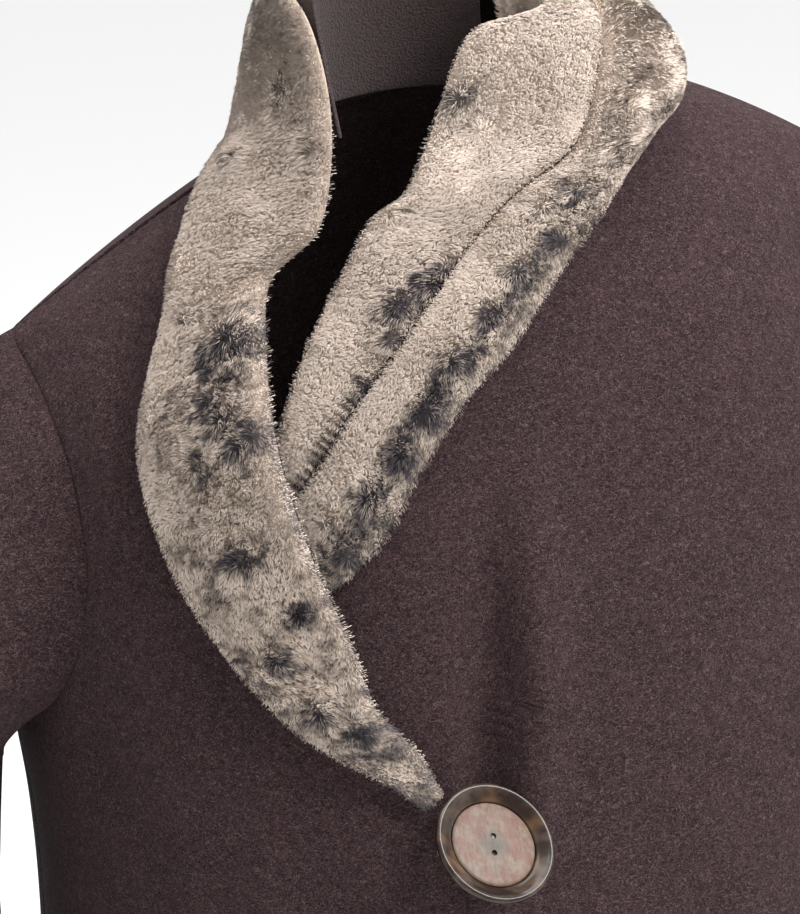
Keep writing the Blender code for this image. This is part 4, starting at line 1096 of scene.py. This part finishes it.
def pearl_finish(colours):
    """Mottled pinkish pearl with darker scratches and flakes."""
    finish = Finish("mottled_pearl", {"Roughness": 0.40, "Coat Weight": 0.03, "Coat Roughness": 0.10,
                                      "Specular IOR Level": 0.18})
    place = finish.place()
    clouds = finish.spots(place, 190.0, 4.0, 0.65, 0.40, 0.60)
    lengthways = finish.turned(place, (0.2, 0.5, 0.3), (700.0, 120.0, 260.0))
    streaks = finish.spots(lengthways, 1.0, 3.0, 0.6, 0.50, 0.66)
    colour = finish.mix(clouds, colours.pearl_pink, colours.pearl)
    colour = finish.mix(streaks * 0.35, colour, colours.pearl_dark)
    apart = finish.node("ShaderNodeVectorMath", {"operation": "DISTANCE"},
                        {0: place, 1: BUTTON_CENTRE}, "Value")
    cloud = 1 - finish.band(apart + finish.noise(place, 120.0, 2.0, 0.6) * 0.008, 0.006, 0.014)
    colour = finish.mix(cloud * 0.70, colour, colours.pearl_grey)
    finish.feed("Base Color", colour)
    finish.bump(clouds + streaks, 0.00015, 0.5)
    return finish.material


def thread_finish(colours):
    """Twisted blue-grey thread."""
    finish = Finish("twisted_thread", {"Roughness": 0.75, "Sheen Weight": 0.2})
    place = finish.place()
    lengthways = finish.turned(place, (0.3, 0.6, 0.2), (2600.0, 2600.0, 500.0))
    twist = finish.spots(lengthways, 1.0, 1.0, 0.5, 0.40, 0.60)
    finish.feed("Base Color", finish.mix(twist, times(0.5, colours.thread), times(1.5, colours.thread)))
    finish.bump(twist, 0.0003)
    return finish.material


def floor_finish(colours):
    finish = Finish("pale_floor", {"Roughness": 0.9})
    finish.shader.inputs["Base Color"].default_value = (*colours.floor, 1.0)
    return finish.material


def neck_finish(colours):
    """Smooth dark cloth with a fine weave."""
    finish = Finish("neck_cloth", {"Roughness": 0.85, "Sheen Weight": 0.15})
    weave = finish.spots(finish.place(), 900.0, 2.0, 0.6, 0.35, 0.65)
    finish.feed("Base Color", finish.mix(weave, times(0.7, colours.neck), times(1.3, colours.neck)))
    finish.bump(weave, 0.0003)
    return finish.material


# ---- what a user would change ----
class CoatSizes(bpy.types.PropertyGroup):
    wall: FloatProperty(name="Cloth", description="Thickness of the felted wool", default=0.0028,
                        min=0.001, max=0.004, unit="LENGTH", precision=4)
    panel_step: FloatProperty(name="Panel mesh", description="Spacing of a panel's rows", default=0.0055,
                              min=0.003, max=0.03, unit="LENGTH", precision=4)
    hair_width: FloatProperty(name="Hair width", description="Width of a hair in its middle",
                              default=0.00042, min=0.0002, max=0.001, unit="LENGTH", precision=5)
    hair_density: FloatProperty(name="Hair density", description="Hairs on each square millimetre of fur",
                                default=3.3, min=0.5, max=6.0)
    button_sides: IntProperty(name="Button sides", description="Segments round the button", default=128,
                              min=24, max=256)


def colour_property(name, description, default):
    return FloatVectorProperty(name=name, description=description, default=default, subtype="COLOR",
                               size=3, min=0.0, max=1.0)


class CoatColours(bpy.types.PropertyGroup):
    wool: colour_property("Wool", "Ground of the felted wool", (0.069, 0.0370, 0.0390))
    wool_plum: colour_property("Plum", "Plum fibres of the wool", (0.066, 0.030, 0.034))
    wool_fibre: colour_property("Light fibre", "Light grey fibres of the wool", (0.245, 0.180, 0.182))
    wool_pink: colour_property("Pink fibre", "Pinkish fibres of the wool", (0.260, 0.150, 0.155))
    neck: colour_property("Neck band", "Cloth inside the neck", (0.050, 0.030, 0.030))
    fur_pale: colour_property("Fur, pale", "Cream tips of the fur", (0.900, 0.748, 0.640))
    fur_tan: colour_property("Fur, tan", "Tan of the fur", (0.480, 0.385, 0.310))
    fur_grey: colour_property("Fur, grey", "Warm grey of the fur", (0.190, 0.162, 0.158))
    fur_slate: colour_property("Fur, slate", "Slate roots of the fur", (0.064, 0.054, 0.062))
    horn: colour_property("Horn", "Ground of the button's rim", (0.026, 0.016, 0.012))
    horn_light: colour_property("Horn, light", "Clouds in the rim", (0.100, 0.070, 0.054))
    horn_amber: colour_property("Horn, amber", "Amber spots in the rim", (0.190, 0.100, 0.046))
    pearl: colour_property("Pearl", "Light of the button's middle", (0.215, 0.162, 0.128))
    pearl_pink: colour_property("Pearl, pink", "Pinkish parts of the middle", (0.190, 0.104, 0.079))
    pearl_dark: colour_property("Pearl, dark", "Flakes in the middle", (0.100, 0.076, 0.066))
    pearl_grey: colour_property("Pearl, grey", "Cloud round the holes", (0.090, 0.088, 0.074))
    thread: colour_property("Thread", "Thread of the button and its loop", (0.100, 0.115, 0.140))
    floor: colour_property("Floor", "The pale floor", (0.98, 0.98, 0.98))


class CoatStage(bpy.types.PropertyGroup):
    camera_turn: FloatProperty(name="Turn", description="Camera's turn round the coat",
                               default=math.radians(-14), subtype="ANGLE")
    camera_rise: FloatProperty(name="Rise", description="Camera's height above the horizon",
                               default=math.radians(20), subtype="ANGLE")
    camera_roll: FloatProperty(name="Roll", description="Camera's roll", default=math.radians(-4),
                               subtype="ANGLE")
    distance: FloatProperty(name="Distance", description="From the camera to the collar", default=1.5,
                            unit="LENGTH")
    view_height: FloatProperty(name="View height", description="Height of the view at that distance",
                               default=0.44, unit="LENGTH")
    floor_level: FloatProperty(name="Floor", description="Height of the floor below the shoulder line",
                               default=-1.42, unit="LENGTH")


# ---- operators ----
class CoatOperator(bpy.types.Operator):
    """Shared settings of the coat's operators"""
    bl_options = {"REGISTER", "UNDO"}

    def settings(self, context):
        return context.scene.coat_sizes, context.scene.coat_colours


class COAT_OT_body(CoatOperator):
    """Makes the back and the two fronts of felted wool"""
    bl_idname = "coat.body"
    bl_label = "Body panels"

    def execute(self, context):
        sizes, colours = self.settings(context)
        wool, step = wool_finish(colours), sizes.panel_step
        shapes = {"back": back_shape(step)}
        for side, name in ((1, "front_left"), (-1, "front_right")):
            shapes[name] = grid_mesh(front_points(side, FRONT_COLUMNS[name], step))
        for name, shape in shapes.items():
            face_out(shape)
            cloth_piece(name + "_panel", shape, wool, name, sizes.wall)
        return {"FINISHED"}


def sleeve_points(side, step):
    """Rows of points round a sleeve, from its armhole to its cuff."""
    levels = panel_levels(step)
    levels = levels[levels >= ARMPIT_LEVEL - 1e-9]
    front = body_point(side_limit(levels, side, False), levels)
    back = body_point(side_limit(levels, side, True), levels)
    loop = np.concatenate((front, back[-2:0:-1])) + np.array([side * SLEEVE_GAP, 0.0, 0.0])
    reach = np.linalg.norm(np.roll(loop, -1, axis=0) - loop, axis=1)
    before, pit = np.concatenate(([0.0], np.cumsum(reach))), len(levels) - 1
    turn = np.where(np.arange(len(loop)) <= pit, math.pi * before[:-1] / before[pit],
                    math.pi * (1 + (before[:-1] - before[pit]) / (before[-1] - before[pit])))
    section = through(SLEEVE)

    def ring(at):
        x, y, z, half_x, half_y = section(at)
        around = np.stack((side * half_x * np.cos(turn), -half_y * np.sin(turn), 0 * turn), axis=-1)
        return around + np.array([side * x, y, z]), unit(around)

    end, out = ring(0.0)
    gap = np.linalg.norm(end - loop, axis=1)[:, None]
    leave = unit(np.array(CAP_LEAVE) * (side, 1, 1)) * gap * CAP_REACH
    arrive = np.array(CAP_ARRIVE) * (side, 1, 1) * gap * CAP_REACH
    rows = [hermite(loop, end, leave, arrive, t) for t in np.linspace(0, 1, CAP_ROWS + 1)[:-1]]
    for at in np.linspace(0, len(SLEEVE) - 1, ARM_ROWS):
        points, out = ring(at)
        depth = 0.0
        for place, angle, spread, size, length in SLEEVE_FOLDS:
            apart = degrees_apart(turn, angle)
            along = at / (len(SLEEVE) - 1) - place
            depth = depth + size * np.exp(-(along / length) ** 2 - (apart / spread) ** 2)
        rows.append(points - out * (depth - wave_height(points))[:, None])
    rows = np.array(rows)
    return np.concatenate((rows, rows[:, :1]), axis=1)


class COAT_OT_sleeves(CoatOperator):
    """Makes the two sleeves"""
    bl_idname = "coat.sleeves"
    bl_label = "Sleeves"

    def execute(self, context):
        sizes, colours = self.settings(context)
        wool = wool_finish(colours)
        for side, name in ((-1, "sleeve_right"), (1, "sleeve_left")):
            sleeve = grid_mesh(sleeve_points(side, SLEEVE_STEP), closed=True)
            face_out(sleeve, side * SLEEVE_MIDDLE[0], SLEEVE_MIDDLE[1])
            cloth_piece(name + "_tube", sleeve, wool, name, sizes.wall)
        return {"FINISHED"}


def collar_guide():
    """Search trees of the outer faces that each half of the collar lies on."""
    trees = {}
    for side in (-1, 1):
        under = bmesh.new()
        grid_mesh(front_points(side, 40, GUIDE_STEP), cloth=under)
        for half in (side, -side):
            grid_mesh(back_points(half, 32, GUIDE_STEP), cloth=under)
        trees[side] = BVHTree.FromBMesh(under)
        under.free()
    return trees


def make_bands():
    """The three strips of fur, by name."""
    guide = collar_guide()
    return {"right": Band(RIGHT_COLLAR, -1, "outer", guide[-1]),
            "left": Band(LEFT_COLLAR, 1, "outer", guide[1]),
            "inner": Band(LEFT_COLLAR, 1, "inner", guide[1], INNER_BAND_SHARE)}


BANDS = make_bands()


class COAT_OT_collar_cloth(CoatOperator):
    """Makes the cloth under the fur of each half of the collar"""
    bl_idname = "coat.collar_cloth"
    bl_label = "Collar cloth"

    def execute(self, context):
        wool = wool_finish(self.settings(context)[1])
        for side, name in ((-1, "right"), (1, "left")):
            band = BANDS[name]
            points = band.bed - band.out[:, None, :] * FUR_GAP
            across = unit(points[:, -1] - points[:, 0])
            if side < 0:
                beyond = BEYOND_AT(band.station)[:, None]
                edge = band.kept_clear((points[:, 0] - across * beyond)[:, None, :], COLLAR_LIFT)[:, 0]
                points[:, 0] = np.where(beyond > 0, edge - band.out * FUR_GAP, points[:, 0])
            inset = ROLL_INSET * ease(band.station, *ROLL_STATIONS)[:, None] * across
            points[:, -3:] -= inset[:, None, :]
            shape = grid_mesh(points[:, ::2])
            shape.normal_update()
            a_row = len(shape.faces) // BAND_STEPS
            facing = sum(face.normal.dot(Vector(band.out[number // a_row]))
                         for number, face in enumerate(shape.faces))
            if facing < 0:
                bmesh.ops.reverse_faces(shape, faces=shape.faces)
            cloth_piece("collar_under_" + name, shape, wool, "collar_cloth_" + name,
                        COLLAR_CLOTH, 0.0006)
        return {"FINISHED"}


def tone_table(rows):
    """Tone as a function of the place along and across a band, from a table's rows."""
    columns = [Smooth(rows, k) for k in range(1, len(rows[0]))]

    def tone(along, across):
        values = np.array([column(along) for column in columns])
        at = np.clip(across, 0, 1) * (len(columns) - 1)
        i = np.minimum(at.astype(int), len(columns) - 2)
        t = ease(at - i, 0, 1)
        every = np.arange(len(at))
        return values[i, every] * (1 - t) + values[i + 1, every] * t

    return tone


def undercoat(band, tone_at, tufts):
    """Closed pad of underwool round the band, with its ends filled and its tone in a UV map."""
    top, bed = band.surface(PAD_TOP), band.bed
    ring = np.concatenate((top, bed[:, ::-1], top[:, :1]), axis=1)
    columns = ring.shape[1]
    share = np.concatenate((band.share, band.share[::-1], band.share[:1]))
    along = np.arange(BAND_STEPS + 1) / BAND_STEPS
    tones = tone_at(np.repeat(along, columns), np.tile(share, BAND_STEPS + 1))
    middle = band.bed[:, BAND_COLUMNS // 2]
    wide = np.linalg.norm(band.bed[:, -1] - band.bed[:, 0], axis=1)[:, None]
    rim = 1 - ease(np.minimum(share, 1 - share), 0.0, 0.07)
    tones = tones + 0.20 * np.tile(rim, BAND_STEPS + 1)
    for place, across, reach, dark in tufts:
        centre = middle[int(place * BAND_STEPS)]
        ahead = np.linalg.norm(middle - centre, axis=1)[:, None]
        apart = ahead ** 2 + ((share[None, :] - across) * wide) ** 2
        tones = tones + (0.8 * dark * np.exp(-apart / reach ** 2)).ravel()
    pad = grid_mesh(ring)
    pad.verts.index_update()
    layer = pad.loops.layers.uv.new("OFBake")
    for face in pad.faces:
        for loop in face.loops:
            row, column = divmod(loop.vert.index, columns)
            loop[layer].uv = (tones[loop.vert.index] + 0.06 + 0.004 * (column % 2),
                              0.20 + 0.06 * (row % 2))
    bmesh.ops.remove_doubles(pad, verts=pad.verts, dist=WELD)
    for cap in fill_ends(pad):
        for number, loop in enumerate(cap.loops):
            loop[layer].uv = (0.40 + 0.004 * (number % 2), 0.20 + 0.06 * (number // 2 % 2))
    bmesh.ops.recalc_face_normals(pad, faces=pad.faces)
    return pad


class COAT_OT_fur(CoatOperator):
    """Makes the fur: an undercoat pad for each strip and the hairs that stand in it"""
    bl_idname = "coat.fur"
    bl_label = "Fur"

    def execute(self, context):
        sizes, colours = self.settings(context)
        hairs, underwool = hair_finish("sheared_fur", colours), hair_finish("underwool", colours)
        for name, node, tones, width, ends, seed in FUR_STRIPS:
            band, tufts, tone_at = BANDS[name], TUFTS[name], tone_table(tones)
            for number, (first, last) in enumerate(zip(ends[:-1], ends[1:])):
                growth = Growth(band, first, last, sizes.hair_density, seed + 20 * number)
                mesh = hair_mesh(growth, sizes.hair_width, tone_at, tufts, name)
                placed(f"fur_{name}_{number + 1}", mesh, hairs)
            pad = finished(f"underwool_{name}", undercoat(band, tone_at, tufts), underwool, node)
            length = round(float(band.sizes()[0].sum(axis=0).max()), 3)
        return {"FINISHED"}


class COAT_OT_neck_band(CoatOperator):
    """Makes the cloth band that shows inside the neck"""
    bl_idname = "coat.neck_band"
    bl_label = "Neck band"

    def execute(self, context):
        (high_turn, high), (low_turn, low) = NECK_BAND_START
        share = np.linspace(0, 1, NECK_BAND_ROWS)[:, None]
        start = high_turn + (low_turn - high_turn) * share
        turn = np.radians(start + (NECK_BAND_END - start) * np.linspace(0, 1, NECK_BAND_COLUMNS))
        height = high + (low - high) * share + 0 * turn
        points = np.stack((NECK_BAND_RADIUS[0] * np.sin(turn),
                           NECK_BAND_MID_Y - NECK_BAND_RADIUS[1] * np.cos(turn), height), axis=-1)
        band = grid_mesh(points)
        face_out(band)
        cloth = neck_finish(self.settings(context)[1])
        cloth_piece("neck_band_cloth", band, cloth, "neck_band",
                    NECK_BAND_WALL, 0.0005)
        return {"FINISHED"}


def standing(place, axes):
    """Matrix of a place and its three axes."""
    return Matrix.Translation(place) @ Matrix(axes).transposed().to_4x4()


def button_frame():
    normal = Vector(BUTTON_NORMAL).normalized()
    right = Vector((0, 0, 1)).cross(normal).normalized() * -1
    return standing(BUTTON_CENTRE, (right, normal.cross(right), normal))


def turned(profile, sides):
    """Closed solid turned about the button's axis from a profile of (radius, height)."""
    ring = bmesh.new()
    verts = [ring.verts.new((radius, 0.0, height)) for radius, height in profile]
    edges = [ring.edges.new(pair) for pair in zip(verts[:-1], verts[1:])]
    bmesh.ops.spin(ring, geom=verts + edges, cent=(0, 0, 0), axis=(0, 0, 1), angle=2 * math.pi,
                   steps=sides, use_merge=True)
    bmesh.ops.remove_doubles(ring, verts=ring.verts, dist=1e-6)
    bmesh.ops.recalc_face_normals(ring, faces=ring.faces)
    bmesh.ops.transform(ring, matrix=button_frame(), verts=ring.verts)
    return ring


def finer(points, steps):
    """Points of a smooth curve through a few points."""
    return through(points)(np.linspace(0, len(points) - 1, steps))


def round_cord(points, radius, sides=12):
    """Closed round tube along points, from a grid wrapped round them."""
    points = np.array(points, dtype=float)
    ways = unit(np.gradient(points, axis=0))
    side = unit(np.cross(ways, np.array([0.3, -0.8, 0.5])))
    rise = np.cross(side, ways)
    turn = np.linspace(0, 2 * math.pi, sides + 1)
    rings = (points[:, None, :] + radius * (np.cos(turn)[None, :, None] * side[:, None, :]
                                            + np.sin(turn)[None, :, None] * rise[:, None, :]))
    rings[:, -1] = rings[:, 0]
    cord = grid_mesh(rings, closed=True)
    fill_ends(cord)
    bmesh.ops.recalc_face_normals(cord, faces=cord.faces)
    return cord


class COAT_OT_button(CoatOperator):
    """Makes the dished button, its thread shank and the cord loop that holds it"""
    bl_idname = "coat.button"
    bl_label = "Button"

    def execute(self, context):
        sizes, colours = self.settings(context)
        outer, inner = BUTTON_RADIUS, BUTTON_DISC_RADIUS
        edge = inner - 0.0002
        # profiles: radius, height
        top = ((outer, 0.0010), (0.985 * outer, 0.0026), (0.945 * outer, 0.0031), (0.90 * outer, 0.0028),
               (0.83 * outer, 0.0018), (inner + 0.0018, 0.0007), (inner + 0.0006, 0.0001),
               (inner + 0.0003, -0.0005))
        rim = ((0.0, BUTTON_BACK), (0.60 * outer, BUTTON_BACK), (0.90 * outer, -0.0018),
               (0.985 * outer, -0.0002), *finer(top, 28), (inner + 0.0003, -0.0012), (0.0, -0.0012))
        disc = ((0.0, -0.0009), (edge, -0.0009), (edge, -0.0003), (edge - 0.0004, 0.0001),
                (edge - 0.0011, 0.0003), (0.6 * edge, 0.0001), (HOLE_SPREAD + 0.003, 0.0), (0.0, 0.0))
        finished("button_rim_horn", turned(rim, sizes.button_sides), horn_finish(colours),
                 "button_rim")
        face = finished("button_face_pearl", turned(disc, sizes.button_sides), pearl_finish(colours),
                        "button_disc")
        self.cut_holes(face)
        self.add_thread(thread_finish(colours))
        return {"FINISHED"}

    def cut_holes(self, face):
        """Two holes through the middle."""
        turn = math.radians(HOLE_TURN)
        for sign in (-1, 1):
            hole = bmesh.new()
            bmesh.ops.create_cone(hole, cap_ends=True, segments=32, radius1=HOLE_RADIUS,
                                  radius2=HOLE_RADIUS, depth=0.01)
            aside = Vector((math.cos(turn), math.sin(turn), 0.0)) * HOLE_SPREAD * sign
            bmesh.ops.transform(hole, matrix=button_frame() @ Matrix.Translation(aside), verts=hole.verts)
            cutter = linked("hole", mesh_of("hole", hole))
            cut = face.modifiers.new("hole", "BOOLEAN")
            cut.operation = "DIFFERENCE"
            cut.object = cutter
            view = bpy.context.evaluated_depsgraph_get()
            drilled = bpy.data.meshes.new_from_object(face.evaluated_get(view))
            face.modifiers.clear()
            face.data = drilled
            bpy.data.objects.remove(cutter, do_unlink=True)
        face.data.set_sharp_from_angle(angle=math.radians(35))

    def add_thread(self, thread):
        spot = button_frame()
        back, below = (spot @ Vector((0.0, 0.0, level))
                       for level in (BUTTON_BACK - 0.0003, BUTTON_BACK - SHANK_SQUARE))
        x, z = (np.array([value]) for value in SHANK_FOOT)
        foot, above = (Vector(on_front(x, z, np.array([lift]))[0]) for lift in (0.0006, SHANK_SQUARE))
        route = [foot, above, above.lerp(below, 0.5), below, back]
        shank = round_cord(finer(route, 24), SHANK_RADIUS, 20)
        finished("button_shank_thread", shank, thread, "button_shank")
        ends = [(-LOOP_BACK * share, 1.0 - 0.35 * share) for share in (1.0, 0.66, 0.33)]
        route = [(ahead, -LOOP_HALF_WIDTH * wide) for ahead, wide in ends]
        for turn in np.linspace(-0.5, 0.5, 25) * math.pi:
            route.append((LOOP_HALF_WIDTH * math.cos(turn), LOOP_HALF_WIDTH * math.sin(turn)))
        route += [(ahead, LOOP_HALF_WIDTH * wide) for ahead, wide in reversed(ends)]
        route = np.array(route)
        points = on_front(SHANK_FOOT[0] + route[:, 0], SHANK_FOOT[1] + route[:, 1],
                          np.full(len(route), LOOP_LIFT))
        loop = round_cord(finer(points, 90), LOOP_RADIUS, 14)
        finished("button_loop_cord", loop, thread, "button_loop")


def area_light(name, place, target, size, power):
    lamp = bpy.data.lights.new(name, "AREA")
    lamp.shape, lamp.size, lamp.energy = "SQUARE", size, power
    way = Vector(target) - Vector(place)
    turn = way.to_track_quat("-Z", "Y").to_matrix().to_4x4()
    linked(name, lamp).matrix_world = Matrix.Translation(place) @ turn


class COAT_OT_stage(CoatOperator):
    """Makes the pale floor, the soft studio light and the camera"""
    bl_idname = "coat.stage"
    bl_label = "Stage"

    TARGET = (-0.0252, -0.0081, -0.1882)
    LIT_PLACE = (0.0, 0.0, -0.25)
    SENSOR = 36.0
    LIGHTS = (            # name, place, size, power
        ("key", (1.7, -1.3, 2.0), 1.3, 92.0),
        ("top", (0.6, 0.2, 2.6), 2.0, 52.0),
        ("fill", (-2.4, -1.8, 0.4), 2.2, 5.5),
    )
    SKY = (0.24, 0.90)    # light of the room in front of the coat, and what comes on top behind it

    def execute(self, context):
        stage, colours = context.scene.coat_stage, context.scene.coat_colours
        floor = bmesh.new()
        bmesh.ops.create_grid(floor, x_segments=1, y_segments=1, size=30.0)
        bmesh.ops.translate(floor, vec=(0, 0, stage.floor_level), verts=floor.verts)
        plane = linked("floor", mesh_of("floor", floor))
        plane.data.materials.append(floor_finish(colours))
        world = bpy.data.worlds.new("studio")
        world.use_nodes = True
        self.light_room(world)
        context.scene.world = world
        context.scene.view_settings.view_transform = "Standard"
        for name, place, size, power in self.LIGHTS:
            area_light(name, place, self.LIT_PLACE, size, power)
        self.add_camera(context, stage)
        return {"FINISHED"}

    def light_room(self, world):
        """A white room, brighter behind the coat and on its left."""
        room = Nodes(world.node_tree)
        way = room.node("ShaderNodeTexCoord", output="Generated")
        x, y, z = room.node("ShaderNodeSeparateXYZ", {}, {0: way}, None)
        low, more = self.SKY
        strength = room.band(x * 0.45 + y * 0.9 + z * 0.35, -0.6, 0.45) * more + low
        room.tree.links.new(strength.socket, room.tree.nodes["Background"].inputs["Strength"])
        room.tree.nodes["Background"].inputs["Color"].default_value = (1.0, 1.0, 1.0, 1.0)

    def add_camera(self, context, stage):
        lens = bpy.data.cameras.new("camera")
        lens.lens = self.SENSOR * stage.distance / stage.view_height
        turn, rise, roll = stage.camera_turn, stage.camera_rise, stage.camera_roll
        away = Vector((math.sin(turn) * math.cos(rise), -math.cos(turn) * math.cos(rise), math.sin(rise)))
        place = Vector(self.TARGET) + away * stage.distance
        ahead = -away
        right = ahead.cross(Vector((0, 0, 1))).normalized()
        up = right.cross(ahead)
        across = right * math.cos(roll) + up * math.sin(roll)
        upward = up * math.cos(roll) - right * math.sin(roll)
        camera = linked("camera", lens)
        camera.matrix_world = standing(place, (across, upward, away))
        context.scene.camera = camera


OPERATORS = (COAT_OT_body, COAT_OT_sleeves, COAT_OT_collar_cloth, COAT_OT_fur, COAT_OT_neck_band,
             COAT_OT_button, COAT_OT_stage)


class COAT_PT_panel(bpy.types.Panel):
    """The coat's pieces, sizes and colours"""
    bl_label = "Coat"
    bl_space_type = "VIEW_3D"
    bl_region_type = "UI"
    bl_category = "Coat"

    def draw(self, context):
        layout = self.layout
        for operator in OPERATORS:
            layout.operator(operator.bl_idname)
        for group in (context.scene.coat_sizes, context.scene.coat_colours, context.scene.coat_stage):
            for name in group.__annotations__:
                layout.prop(group, name)


CLASSES = (CoatSizes, CoatColours, CoatStage, *OPERATORS, COAT_PT_panel)
GROUPS = {"coat_sizes": CoatSizes, "coat_colours": CoatColours, "coat_stage": CoatStage}


def register():
    for item in CLASSES:
        bpy.utils.register_class(item)
    for name, group in GROUPS.items():
        setattr(bpy.types.Scene, name, PointerProperty(type=group))


def unregister():
    for name in GROUPS:
        delattr(bpy.types.Scene, name)
    for item in reversed(CLASSES):
        bpy.utils.unregister_class(item)


def main():
    register()
    for operator in OPERATORS:
        group, name = operator.bl_idname.split(".")
        getattr(getattr(bpy.ops, group), name)()


if __name__ == "__main__":
    main()
